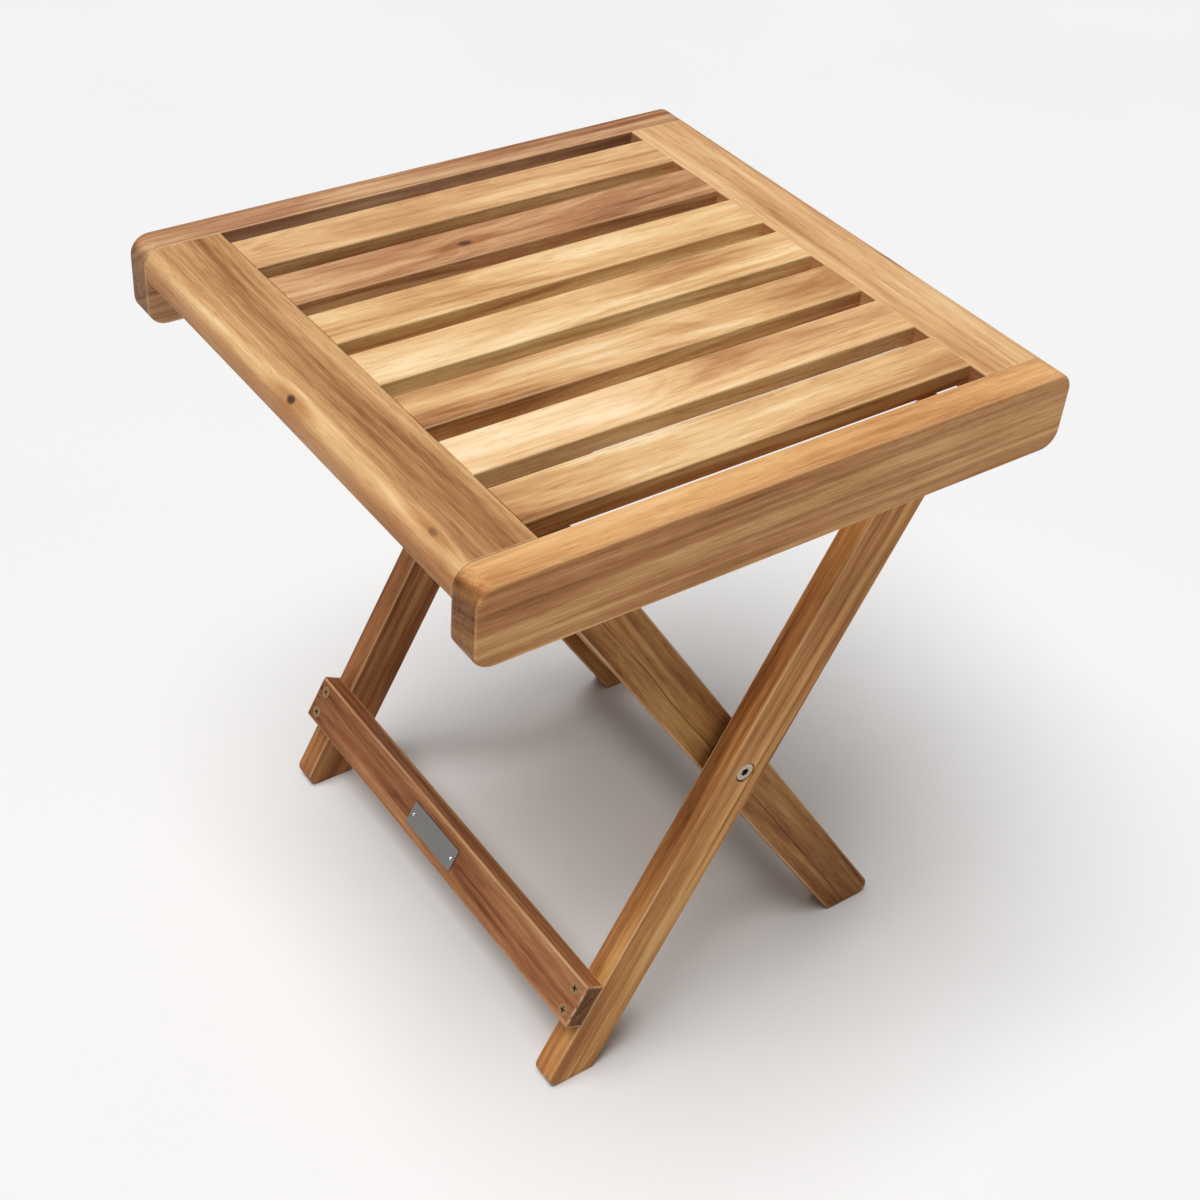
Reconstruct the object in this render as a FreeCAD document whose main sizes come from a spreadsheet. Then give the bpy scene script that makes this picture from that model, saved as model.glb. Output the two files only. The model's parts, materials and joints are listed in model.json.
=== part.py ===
import FreeCAD, Part
import os
import re
import Sketcher
from FreeCAD import Vector

# A folding stool of slatted wood on two pairs of crossed legs.
# Millimetres, +Z up, the floor at z = 0 and the seat's centre above the origin.
# X runs along the slats: the seat is hinged to the outer legs towards +X,
# and its notch blocks rest on the inner legs' top bar towards -X.
# Y runs across the slats: "front" pieces lie towards -Y, "rear" pieces towards +Y.

doc = FreeCAD.newDocument("folding_stool")
sheet = doc.addObject("Spreadsheet::Sheet", "Sizes")

DRIVING_SIZES = [
    # seat frame
    ("seat_length", 390),
    ("seat_width", 375),
    ("seat_height", 453),
    ("rail_thickness", 21),
    ("rail_depth", 50),
    ("end_board_width", 48),
    ("end_board_thickness", 18),
    ("slat_count", 7),
    ("slat_width", 33),
    ("slat_thickness", 12),
    ("end_rounding", 12),
    ("rail_heel_rounding", 12),
    ("rail_edge_rounding", 2.5),
    ("edge_easing", 1),
    ("seam_easing", 0.5),
    # joints inside the seat frame
    ("tenon_length", 10),
    ("tenon_width", 25),
    ("tenon_thickness", 5),
    ("glue_gap", 0.05),
    ("dowel_diameter", 8),
    ("dowel_length", 34),
    ("dowel_spacing", 18),
    ("dowel_depth_in_rail", 13),
    ("hole_end_gap", 1),
    # legs
    ("leg_width", 34),
    ("leg_thickness", 17),
    ("leg_end_margin", 6),
    ("leg_easing", 1.2),
    ("foot_rounding", 8),
    ("rail_gap", 1),
    ("pair_gap", 6),
    ("cross_offset", 15.5),
    ("cross_height", 215.5),
    ("outer_lean", 27.4),
    ("inner_lean", 34),
    ("seat_pivot_drop", 36.5),
    ("running_gap", 0.06),
    # outer legs' stretcher, its screws and its blank plate
    ("stretcher_start", 164),
    ("stretcher_height", 32),
    ("stretcher_thickness", 14),
    ("stretcher_easing", 1.5),
    ("screw_edge_distance", 7.5),
    ("screw_diameter", 4),
    ("screw_head_diameter", 8),
    ("screw_head_height", 2.6),
    ("screw_length", 32),
    ("cross_recess_length", 4.2),
    ("cross_recess_width", 1),
    ("cross_recess_depth", 1.6),
    ("plate_length", 54),
    ("plate_height", 17),
    ("plate_thickness", 0.8),
    ("plate_shift", 3.5),
    ("plate_corner", 1),
    ("pin_diameter", 1.4),
    ("pin_head_diameter", 2.6),
    ("pin_head_height", 0.7),
    ("pin_length", 8),
    ("pin_end_distance", 3.5),
    # inner legs' top bar and stretcher
    ("top_bar_diameter", 20),
    ("bar_socket_depth", 10),
    ("inner_stretcher_height", 32),
    ("inner_stretcher_thickness", 14),
    ("inner_tenon_height", 22),
    ("inner_tenon_thickness", 8),
    # notch blocks
    ("block_width", 24),
    ("block_hook_width", 13),
    ("block_lead_width", 30),
    ("notch_gap", 0.3),
    ("notch_wrap", 48),
    ("block_screw_edge", 6.5),
    ("block_screw_bite", 7),
    ("counterbore_gap", 0.5),
    # cross pivots
    ("sleeve_diameter", 9),
    ("sleeve_head_diameter", 12.6),
    ("sleeve_head_height", 1.6),
    ("sleeve_recess_diameter", 13.8),
    ("sleeve_recess_depth", 2.3),
    ("sleeve_bore", 6.1),
    ("hex_key", 5),
    ("hex_depth", 3),
    ("bolt_diameter", 6),
    ("bolt_engagement", 20),
    ("bolt_head_diameter", 14),
    ("bolt_head_height", 2.4),
    ("bolt_head_rounding", 1),
    ("washer_diameter", 18),
    ("washer_thickness", 1.2),
    ("spacer_diameter", 20),
    # seat hinges
    ("seat_bolt_shoulder", 8),
    ("seat_bolt_thread", 6),
    ("seat_bolt_thread_length", 11),
    ("insert_diameter", 9.5),
    ("insert_length", 13),
]

for row, (alias, number) in enumerate(DRIVING_SIZES, start=1):
    sheet.set(f"A{row}", alias.replace("_", " "))
    sheet.set(f"B{row}", str(number))
    sheet.setAlias(f"B{row}", alias)
doc.recompute()

# Sizes and places that follow from the driving ones.
DERIVED = {
    # seat frame
    "opening_length": "seat_length - 2 * end_board_width",
    "opening_width": "seat_width - 2 * rail_thickness",
    "slat_gap": "(opening_width - slat_count * slat_width) / (slat_count + 1)",
    "slat_pitch": "slat_width + slat_gap",
    "slat_underside": "seat_height - slat_thickness",
    "slat_middle": "seat_height - slat_thickness / 2",
    "board_middle": "seat_height - end_board_thickness / 2",
    "board_centre": "(seat_length - end_board_width) / 2",
    "rail_centre": "(seat_width - rail_thickness) / 2",
    "dowel_depth_in_board": "dowel_length - dowel_depth_in_rail",
    # the dowels are centred in the wood that the slats' mortises leave
    "dowel_shift": "(tenon_length + hole_end_gap) / 2",
    # leg pairs, as distances from the middle plane
    "outer_leg_y": "opening_width / 2 - rail_gap - leg_thickness / 2",
    "outer_face_y": "opening_width / 2 - rail_gap",
    "outer_inside_y": "outer_face_y - leg_thickness",
    "inner_face_y": "outer_inside_y - pair_gap",
    "inner_leg_y": "inner_face_y - leg_thickness / 2",
    "inner_inside_y": "inner_face_y - leg_thickness",
    # both pairs measure the same from the cross pivot up to the seat hinge and to the top bar,
    # so the bar comes in line with the hinge when the legs close
    "upper_arm": "(seat_height - seat_pivot_drop - cross_height) / cos(outer_lean)",
    "hinge_x": "cross_offset + upper_arm * sin(outer_lean)",
    "hinge_z": "cross_height + upper_arm * cos(outer_lean)",
    "bar_x": "cross_offset - upper_arm * sin(inner_lean)",
    "bar_z": "cross_height + upper_arm * cos(inner_lean)",
    # stretchers
    "stretcher_middle": "stretcher_start + stretcher_height / 2",
    "stretcher_face": "leg_width / 2 + stretcher_thickness",
    # notch blocks
    "notch_radius": "top_bar_diameter / 2 + notch_gap",
    "block_left": "bar_x - notch_radius - block_hook_width",
    "block_right": "bar_x + notch_radius + block_lead_width",
    "block_lead_z": "bar_z + notch_radius * cos(notch_wrap)",
    "block_y": "2 * slat_pitch",
    "block_screw_top": "slat_underside + block_screw_bite",
    "block_screw_hook_x": "block_left + block_screw_edge",
    "block_screw_lead_x": "block_right - block_screw_edge",
    # cross pivot, from the bottom of the recess in the outer leg to the inner leg's inner face
    "sleeve_seat_y": "outer_face_y - sleeve_recess_depth",
    "sleeve_length": "sleeve_seat_y - inner_inside_y - hole_end_gap",
    "sleeve_solid": "sleeve_length - bolt_engagement - hole_end_gap",
}


def formula(text):
    """The text of an expression, with each name of a size replaced by its cell or its own formula."""

    def swap(match):
        word = match.group(0)
        if word in DERIVED:
            return "(" + formula(DERIVED[word]) + ")"
        if sheet.getCellFromAlias(word):
            return "Sizes." + word
        return word

    return re.sub(r"[a-z][a-z_]+", swap, text)


def value(text):
    """The number that an expression has now."""
    return float(sheet.evalExpression(formula(text)))


def bind(thing, prop, text):
    thing.setExpression(prop, formula(text))


# ---------------------------------------------------------------- building blocks

NODES = {}
UP_AND_ACROSS = "XZ_Plane"
SIDEWAYS = "YZ_Plane"
LEVEL = "XY_Plane"


def new_body(label):
    body = doc.addObject("PartDesign::Body", label)
    body.Label = label
    return body


def add_node(piece):
    NODES[piece.Label] = piece
    return piece


def new_sketch(body, plane_role, offset="0"):
    """An empty sketch on one of the body's own origin planes, moved along the plane's normal."""
    sketch = body.newObject("Sketcher::SketchObject", body.Label + "_sketch")
    planes = [feature for feature in body.Origin.OriginFeatures if feature.Role == plane_role]
    sketch.AttachmentSupport = [(planes[0], "")]
    sketch.MapMode = "FlatFace"
    bind(sketch, "AttachmentOffset.Base.z", offset)
    return sketch


def fix(sketch, kind, geometry, point, text, name):
    """Holds one coordinate of a point at the value of an expression."""
    constraint = Sketcher.Constraint(kind, -1, 1, geometry, point, value(text))
    number = sketch.addConstraint(constraint)
    sketch.renameConstraint(number, name)
    bind(sketch, "Constraints." + name, text)


def draw_outline(sketch, corners):
    """A closed outline of straight lines, with each corner held by two expressions."""
    points = [Vector(value(across), value(up), 0) for across, up in corners]
    first = sketch.GeometryCount
    count = len(corners)
    for index in range(count):
        line = Part.LineSegment(points[index], points[(index + 1) % count])
        sketch.addGeometry(line, False)
    for index in range(count):
        after = first + (index + 1) % count
        sketch.addConstraint(Sketcher.Constraint("Coincident", first + index, 2, after, 1))
    for index, (across, up) in enumerate(corners):
        line = first + index
        fix(sketch, "DistanceX", line, 1, across, f"across_{line}")
        fix(sketch, "DistanceY", line, 1, up, f"up_{line}")
    return sketch


def draw_rectangle(sketch, left, right, low, high):
    corners = [(left, low), (right, low), (right, high), (left, high)]
    return draw_outline(sketch, corners)


def draw_circle(sketch, across, up, diameter):
    centre = Vector(value(across), value(up), 0)
    circle = Part.Circle(centre, Vector(0, 0, 1), value(diameter) / 2)
    number = sketch.addGeometry(circle, False)
    fix(sketch, "DistanceX", number, 3, across, f"across_{number}")
    fix(sketch, "DistanceY", number, 3, up, f"up_{number}")
    constraint = sketch.addConstraint(Sketcher.Constraint("Diameter", number, value(diameter)))
    sketch.renameConstraint(constraint, f"diameter_{number}")
    bind(sketch, f"Constraints.diameter_{number}", diameter)
    return sketch


def pad(body, sketch, length):
    """Adds material on both sides of the sketch's plane, half of the length on each."""
    feature = body.newObject("PartDesign::Pad", body.Label + "_pad")
    feature.Profile = sketch
    feature.Midplane = True
    bind(feature, "Length", length)
    doc.recompute()
    return feature


def pocket(body, sketch, depth, into_normal=False):
    """Cuts against the sketch's normal, or along it, and refuses a cut that removes nothing."""
    before = body.Shape.Volume
    feature = body.newObject("PartDesign::Pocket", body.Label + "_pocket")
    feature.Profile = sketch
    feature.Reversed = into_normal
    bind(feature, "Length", depth)
    doc.recompute()
    if not feature.Shape.Volume < before:
        raise RuntimeError(f"a pocket in {body.Label} cuts nothing")
    return feature


def pocket_through(body, sketch):
    """Cuts right through the body on both sides of the sketch's plane."""
    before = body.Shape.Volume
    feature = body.newObject("PartDesign::Pocket", body.Label + "_hole")
    feature.Profile = sketch
    feature.Midplane = True
    feature.Type = "ThroughAll"
    doc.recompute()
    if not feature.Shape.Volume < before:
        raise RuntimeError(f"a hole in {body.Label} cuts nothing")
    return feature


def fillet(body, radius, chosen):
    """Rounds every edge of the body for which chosen(edge) is true."""
    doc.recompute()
    base = body.Tip
    names = [f"Edge{n}" for n, edge in enumerate(base.Shape.Edges, start=1) if chosen(edge)]
    if not names:
        raise RuntimeError(f"no edge to round on {body.Label}")
    feature = body.newObject("PartDesign::Fillet", body.Label + "_fillet")
    feature.Base = (base, names)
    bind(feature, "Radius", radius)
    doc.recompute()
    return feature


def place(thing, across="0", depth="0", up="0", axis=Vector(0, 0, 1), angle="0"):
    """Turns a piece about an axis through its own origin and moves it to its place."""
    turn = FreeCAD.Rotation(axis, value(angle))
    thing.Placement = FreeCAD.Placement(Vector(0, 0, 0), turn)
    bind(thing, "Placement.Base.x", across)
    bind(thing, "Placement.Base.y", depth)
    bind(thing, "Placement.Base.z", up)
    bind(thing, "Placement.Rotation.Angle", angle)
    return thing


X_AXIS = Vector(1, 0, 0)
Y_AXIS = Vector(0, 1, 0)
Z_AXIS = Vector(0, 0, 1)


def turned(label, profile):
    """A solid of revolution about its own Z axis, from (radius, height) corners."""
    body = new_body(label)
    sketch = draw_outline(new_sketch(body, UP_AND_ACROSS), profile)
    feature = body.newObject("PartDesign::Revolution", label + "_revolution")
    feature.Profile = sketch
    feature.ReferenceAxis = (sketch, ["V_Axis"])
    feature.Angle = 360
    doc.recompute()
    return body


def ring_profile(inner, outer, low, high):
    return [(inner, low), (outer, low), (outer, high), (inner, high)]


def is_straight(edge, axis):
    if edge.Curve.TypeId != "Part::GeomLine":
        return False
    along = edge.tangentAt(edge.FirstParameter)
    return abs(along.dot(axis)) > 0.9999


def lies_at(edge, axis, place_along):
    """True where the whole edge lies in one plane across the axis."""
    ends = [vertex.Point.dot(axis) for vertex in edge.Vertexes]
    middle = edge.CenterOfMass.dot(axis)
    return all(abs(spot - place_along) < 1e-4 for spot in ends + [middle])


SIDES = {"front": -1, "rear": 1}


def signed(side, text):
    """An expression's text with the sign of the side that a piece is on."""
    return f"{SIDES[side]} * ({text})"


# ---------------------------------------------------------------- seat frame


def side_rail(side):
    """A deep board on edge. Its ends are rounded at the top and at the heel, and its outer face
    has a soft edge all the way round."""
    body = new_body(f"side_rail_{side}")
    sketch = new_sketch(body, UP_AND_ACROSS)
    draw_rectangle(sketch, "-seat_length / 2", "seat_length / 2", "-rail_depth", "0")
    pad(body, sketch, "rail_thickness")
    depth = value("rail_depth")
    fillet(body, "end_rounding", lambda e: is_straight(e, Y_AXIS) and lies_at(e, Z_AXIS, 0))
    fillet(
        body, "rail_heel_rounding", lambda e: is_straight(e, Y_AXIS) and lies_at(e, Z_AXIS, -depth)
    )

    # blind holes in the inner face, for the dowels of the end boards and for the hinge's insert
    inward = -SIDES[side]
    face = f"{-inward} * rail_thickness / 2"
    holes = new_sketch(body, UP_AND_ACROSS, face)
    for end in (-1, 1):
        for step in (-0.5, 0.5):
            spot = f"{end} * (board_centre + dowel_shift) + {step} * dowel_spacing"
            draw_circle(holes, spot, "-end_board_thickness / 2", "dowel_diameter + 2 * glue_gap")
    pocket(body, holes, "dowel_depth_in_rail + hole_end_gap", into_normal=inward > 0)
    insert_hole = new_sketch(body, UP_AND_ACROSS, face)
    draw_circle(insert_hole, "hinge_x", "-seat_pivot_drop", "insert_diameter + 2 * glue_gap")
    pocket(body, insert_hole, "insert_length + hole_end_gap", into_normal=inward > 0)

    outer_face = -inward * value("rail_thickness") / 2
    fillet(body, "rail_edge_rounding", lambda e: lies_at(e, Y_AXIS, outer_face))
    half_length = value("seat_length") / 2

    def on_inner_long_edge(edge):
        return is_straight(edge, X_AXIS) and lies_at(edge, Y_AXIS, -outer_face) and edge.Length > half_length

    fillet(body, "seam_easing", on_inner_long_edge)
    place(body, depth=signed(side, "rail_centre"), up="seat_height")
    return add_node(body)


def end_board(end, sign):
    """A flat board between the rails, its outer upper edge rounded to the rails' own profile,
    with a mortise for each slat in its inner edge."""
    body = new_body(f"end_board_{end}")
    sketch = new_sketch(body, UP_AND_ACROSS)
    draw_rectangle(sketch, "-end_board_width / 2", "end_board_width / 2", "-end_board_thickness", "0")
    pad(body, sketch, "opening_width")
    outer = sign * value("end_board_width") / 2
    fillet(
        body,
        "end_rounding",
        lambda e: is_straight(e, Y_AXIS) and lies_at(e, X_AXIS, outer) and lies_at(e, Z_AXIS, 0),
    )
    thickness = value("end_board_thickness")
    fillet(
        body,
        "edge_easing",
        lambda e: is_straight(e, Y_AXIS) and lies_at(e, X_AXIS, outer) and lies_at(e, Z_AXIS, -thickness),
    )
    fillet(body, "edge_easing", lambda e: is_straight(e, Y_AXIS) and lies_at(e, X_AXIS, -outer))

    mortise = new_sketch(body, SIDEWAYS, f"{-sign} * end_board_width / 2")
    first = "-(slat_count - 1) / 2 * slat_pitch"
    half_width = "(tenon_width / 2 + glue_gap)"
    half_height = "(tenon_thickness / 2 + glue_gap)"
    draw_rectangle(
        mortise,
        f"{first} - {half_width}",
        f"{first} + {half_width}",
        f"-slat_thickness / 2 - {half_height}",
        f"-slat_thickness / 2 + {half_height}",
    )
    cut = pocket(body, mortise, "tenon_length + hole_end_gap", into_normal=sign > 0)
    row = body.newObject("PartDesign::LinearPattern", body.Label + "_mortises")
    row.Originals = [cut]
    row.Direction = (mortise, ["H_Axis"])
    bind(row, "Length", "(slat_count - 1) * slat_pitch")
    bind(row, "Occurrences", "slat_count")
    body.Tip = row
    doc.recompute()

    for side, way in SIDES.items():
        holes = new_sketch(body, UP_AND_ACROSS, f"{-way} * opening_width / 2")
        for step in (-0.5, 0.5):
            draw_circle(
                holes,
                f"{sign} * dowel_shift + {step} * dowel_spacing",
                "-end_board_thickness / 2",
                "dowel_diameter + 2 * glue_gap",
            )
        pocket(body, holes, "dowel_depth_in_board + hole_end_gap", into_normal=way > 0)
    place(body, across=f"{sign} * board_centre", up="seat_height")
    return add_node(body)


def slat(number, carries_block):
    """A thin board with a tenon at each end. The two that carry the notch blocks are drilled
    from below for their screws."""
    body = new_body(f"slat_{number}")
    sketch = new_sketch(body, UP_AND_ACROSS)
    half_length = "opening_length / 2"
    draw_rectangle(sketch, "-" + half_length, half_length, "-slat_thickness", "0")
    pad(body, sketch, "slat_width")
    doc.recompute()
    fillet(body, "edge_easing", lambda e: is_straight(e, X_AXIS))
    tenons = new_sketch(body, UP_AND_ACROSS)
    draw_rectangle(
        tenons,
        f"-{half_length} - tenon_length",
        f"{half_length} + tenon_length",
        "-slat_thickness / 2 - tenon_thickness / 2",
        "-slat_thickness / 2 + tenon_thickness / 2",
    )
    pad(body, tenons, "tenon_width")
    if carries_block:
        holes = new_sketch(body, LEVEL, "-slat_thickness")
        for spot in ("block_screw_hook_x", "block_screw_lead_x"):
            draw_circle(holes, spot, "0", "screw_diameter + 2 * glue_gap")
        pocket(body, holes, "block_screw_bite + hole_end_gap", into_normal=True)
    middle = (int(value("slat_count")) + 1) / 2
    place(body, depth=f"{number - middle} * slat_pitch", up="seat_height")
    return add_node(body)


def frame_dowels():
    """Two glued dowels at each end of each end board, half in the board and half in the rail."""
    master = turned(
        "dowel",
        [
            ("0", "0"),
            ("dowel_diameter / 2", "0"),
            ("dowel_diameter / 2", "dowel_length"),
            ("0", "dowel_length"),
        ],
    )
    spots = []
    for side in SIDES:
        for end in (-1, 1):
            for step in (-0.5, 0.5):
                across = f"{end} * (board_centre + dowel_shift) + {step} * dowel_spacing"
                depth = signed(side, "opening_width / 2 - dowel_depth_in_board")
                spots.append((across, depth, "board_middle", X_AXIS, facing(side)))
    return group("frame_dowels", master, spots)


def facing(side):
    """The turn about X that points a piece's own +Z out of the stool on that side."""
    return str(-90 * SIDES[side])


def group(label, master, spots):
    """Several equal solids in one node: links to one master, each at its own place."""
    links = []
    for number, (across, depth, up, axis, angle) in enumerate(spots, start=1):
        link = doc.addObject("App::Link", f"{label}_{number}")
        link.LinkedObject = master
        place(link, across, depth, up, axis, angle)
        links.append(link)
    compound = doc.addObject("Part::Compound", label)
    compound.Label = label
    compound.Links = links
    doc.recompute()
    return add_node(compound)


# ---------------------------------------------------------------- legs


def leg_spot(lean, across, along):
    """World X and Z, as expressions, of a point given across and up along a leaning leg."""
    x = f"cross_offset + ({across}) * cos({lean}) + ({along}) * sin({lean})"
    z = f"cross_height - ({across}) * sin({lean}) + ({along}) * cos({lean})"
    return x, z


def leg_blank(label, lean):
    """A leg in its own frame: the cross pivot at the origin, +Z up along the leg.
    Its top is a half round and its foot is cut level with the floor."""
    body = new_body(label)
    sketch = new_sketch(body, UP_AND_ACROSS)
    half = "leg_width / 2"
    draw_outline(
        sketch,
        [
            (f"-{half}", f"-(cross_height + {half} * sin({lean})) / cos({lean})"),
            (half, f"-(cross_height - {half} * sin({lean})) / cos({lean})"),
            (half, "upper_arm + leg_end_margin"),
            (f"-{half}", "upper_arm + leg_end_margin"),
        ],
    )
    pad(body, sketch, "leg_thickness")
    top = new_sketch(body, UP_AND_ACROSS)
    draw_circle(top, "0", "upper_arm + leg_end_margin", "leg_width")
    pad(body, top, "leg_thickness")
    return body


def ease_leg(body, heel_sign):
    """Rounds the heel, which is the outer corner of the foot, and then the long edges."""
    heel = heel_sign * value("leg_width") / 2
    fillet(
        body,
        "foot_rounding",
        lambda e: is_straight(e, Y_AXIS) and lies_at(e, X_AXIS, heel) and e.CenterOfMass.z < 0,
    )
    half = value("leg_thickness") / 2
    shortest = value("leg_width")

    def on_rim(edge):
        on_face = lies_at(edge, Y_AXIS, half) or lies_at(edge, Y_AXIS, -half)
        return on_face and is_straight(edge, Z_AXIS) and edge.Length > shortest

    fillet(body, "leg_easing", on_rim)


def outer_leg(side):
    """Leans with its foot towards -X. The sleeve nut's head sinks into its outer face, the seat
    bolt turns in its top, and the stretcher's screws enter its upper narrow face."""
    body = leg_blank(f"outer_leg_{side}", "outer_lean")
    hole = new_sketch(body, UP_AND_ACROSS)
    draw_circle(hole, "0", "0", "sleeve_diameter + 2 * running_gap")
    draw_circle(hole, "0", "upper_arm", "seat_bolt_shoulder + 2 * running_gap")
    pocket_through(body, hole)
    recess = new_sketch(body, UP_AND_ACROSS, f"{-SIDES[side]} * leg_thickness / 2")
    draw_circle(recess, "0", "0", "sleeve_recess_diameter")
    pocket(body, recess, "sleeve_recess_depth", into_normal=SIDES[side] > 0)
    pilots = new_sketch(body, SIDEWAYS, "-leg_width / 2")
    for edge in ("screw_edge_distance", "stretcher_height - screw_edge_distance"):
        draw_circle(pilots, "0", f"-(stretcher_start + {edge})", "screw_diameter + 2 * glue_gap")
    pocket(body, pilots, "screw_length - stretcher_thickness + hole_end_gap", into_normal=True)
    ease_leg(body, heel_sign=-1)
    x, z = leg_spot("outer_lean", "0", "0")
    place(body, x, signed(side, "outer_leg_y"), z, Y_AXIS, "outer_lean")
    return add_node(body)


def inner_leg(side):
    """Leans the other way inside the outer pair. Sockets in its inner face take the top bar and
    the inner stretcher, and it turns on the sleeve nut."""
    body = leg_blank(f"inner_leg_{side}", "-inner_lean")
    hole = new_sketch(body, UP_AND_ACROSS)
    draw_circle(hole, "0", "0", "sleeve_diameter + 2 * running_gap")
    pocket_through(body, hole)
    screw = new_sketch(body, UP_AND_ACROSS)
    draw_circle(screw, "0", "upper_arm", "screw_diameter + 2 * glue_gap")
    pocket_through(body, screw)
    head = new_sketch(body, UP_AND_ACROSS, f"{-SIDES[side]} * leg_thickness / 2")
    draw_circle(head, "0", "upper_arm", "screw_head_diameter + 2 * glue_gap")
    pocket(body, head, "screw_head_height", into_normal=SIDES[side] > 0)
    sockets = new_sketch(body, UP_AND_ACROSS, f"{SIDES[side]} * leg_thickness / 2")
    draw_circle(sockets, "0", "upper_arm", "top_bar_diameter + 2 * glue_gap")
    draw_rectangle(
        sockets,
        "-inner_tenon_thickness / 2 - glue_gap",
        "inner_tenon_thickness / 2 + glue_gap",
        "-stretcher_middle - inner_tenon_height / 2 - glue_gap",
        "-stretcher_middle + inner_tenon_height / 2 + glue_gap",
    )
    pocket(body, sockets, "bar_socket_depth + glue_gap", into_normal=SIDES[side] < 0)
    ease_leg(body, heel_sign=1)
    x, z = leg_spot("-inner_lean", "0", "0")
    place(body, x, signed(side, "inner_leg_y"), z, Y_AXIS, "-inner_lean")
    return add_node(body)


# ---------------------------------------------------------------- stretchers, bars and blocks


def stretcher():
    """A board on the outer legs' upper narrow faces, drilled and countersunk for four screws,
    with two small holes for the plate's pins."""
    body = new_body("stretcher")
    sketch = new_sketch(body, UP_AND_ACROSS)
    draw_rectangle(
        sketch,
        "-stretcher_face",
        "-leg_width / 2",
        "-stretcher_start - stretcher_height",
        "-stretcher_start",
    )
    pad(body, sketch, "2 * outer_face_y")
    face = -value("stretcher_face")
    fillet(body, "stretcher_easing", lambda e: lies_at(e, X_AXIS, face))
    for edge in ("screw_edge_distance", "stretcher_height - screw_edge_distance"):
        for side in SIDES:
            depth = signed(side, "outer_leg_y")
            up = f"-(stretcher_start + {edge})"
            shank = new_sketch(body, SIDEWAYS, "-stretcher_face")
            draw_circle(shank, depth, up, "screw_diameter + 2 * glue_gap")
            pocket(body, shank, "stretcher_thickness", into_normal=True)
            head = new_sketch(body, SIDEWAYS, "-stretcher_face")
            draw_circle(head, depth, up, "screw_head_diameter + 2 * glue_gap")
            pocket(body, head, "screw_head_height", into_normal=True)
    for way in (-1, 1):
        pin_hole = new_sketch(body, SIDEWAYS, "-stretcher_face")
        depth = f"plate_shift + {way} * (plate_length / 2 - pin_end_distance)"
        draw_circle(pin_hole, depth, "-stretcher_middle", "pin_diameter + 2 * glue_gap")
        pocket(body, pin_hole, "pin_length + hole_end_gap", into_normal=True)
    place(body, "cross_offset", "0", "cross_height", Y_AXIS, "outer_lean")
    return add_node(body)


def screw_master(label, length):
    """A wood screw that stands on its point: a cylindrical head, a plain shank with a pointed end,
    and a cross recess in the head, which is level with z = 0."""
    radius = "screw_diameter / 2"
    master = turned(
        label,
        [
            ("0", "0"),
            ("screw_head_diameter / 2", "0"),
            ("screw_head_diameter / 2", "-screw_head_height"),
            (radius, "-screw_head_height"),
            (radius, f"screw_diameter - ({length})"),
            ("0", f"-({length})"),
        ],
    )
    recess = new_sketch(master, LEVEL)
    long_half = "cross_recess_length / 2"
    short_half = "cross_recess_width / 2"
    draw_outline(
        recess,
        [
            (f"-{long_half}", f"-{short_half}"),
            (f"-{short_half}", f"-{short_half}"),
            (f"-{short_half}", f"-{long_half}"),
            (short_half, f"-{long_half}"),
            (short_half, f"-{short_half}"),
            (long_half, f"-{short_half}"),
            (long_half, short_half),
            (short_half, short_half),
            (short_half, long_half),
            (f"-{short_half}", long_half),
            (f"-{short_half}", short_half),
            (f"-{long_half}", short_half),
        ],
    )
    pocket(master, recess, "cross_recess_depth")
    return master


def stretcher_screws():
    master = screw_master("stretcher_screw", "screw_length")
    spots = []
    for side in SIDES:
        for edge in ("screw_edge_distance", "stretcher_height - screw_edge_distance"):
            x, z = leg_spot("outer_lean", "-stretcher_face", f"-(stretcher_start + {edge})")
            spots.append((x, signed(side, "outer_leg_y"), z, Y_AXIS, "outer_lean - 90"))
    return group("stretcher_screws", master, spots)


def label_plate():
    """A small blank metal plate on the stretcher's outer face, with a pin hole at each end."""
    body = new_body("label_plate")
    sketch = new_sketch(body, SIDEWAYS)
    draw_rectangle(
        sketch,
        "plate_shift - plate_length / 2",
        "plate_shift + plate_length / 2",
        "-stretcher_middle - plate_height / 2",
        "-stretcher_middle + plate_height / 2",
    )
    pad(body, sketch, "plate_thickness")
    fillet(body, "plate_corner", lambda e: is_straight(e, X_AXIS))
    holes = new_sketch(body, SIDEWAYS)
    for way in (-1, 1):
        depth = f"plate_shift + {way} * (plate_length / 2 - pin_end_distance)"
        draw_circle(holes, depth, "-stretcher_middle", "pin_diameter + 2 * glue_gap")
    pocket_through(body, holes)
    x, z = leg_spot("outer_lean", "-stretcher_face - plate_thickness / 2", "0")
    place(body, x, "0", z, Y_AXIS, "outer_lean")
    return add_node(body)


def label_pins():
    master = turned(
        "label_pin",
        [
            ("0", "pin_head_height"),
            ("pin_head_diameter / 4", "pin_head_height"),
            ("pin_head_diameter / 2", "pin_head_height / 3"),
            ("pin_head_diameter / 2", "0"),
            ("pin_diameter / 2", "0"),
            ("pin_diameter / 2", "pin_diameter - pin_length"),
            ("0", "-pin_length"),
        ],
    )
    spots = []
    for way in (-1, 1):
        x, z = leg_spot("outer_lean", "-stretcher_face - plate_thickness", "-stretcher_middle")
        depth = f"plate_shift + {way} * (plate_length / 2 - pin_end_distance)"
        spots.append((x, depth, z, Y_AXIS, "outer_lean - 90"))
    return group("label_pins", master, spots)


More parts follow.
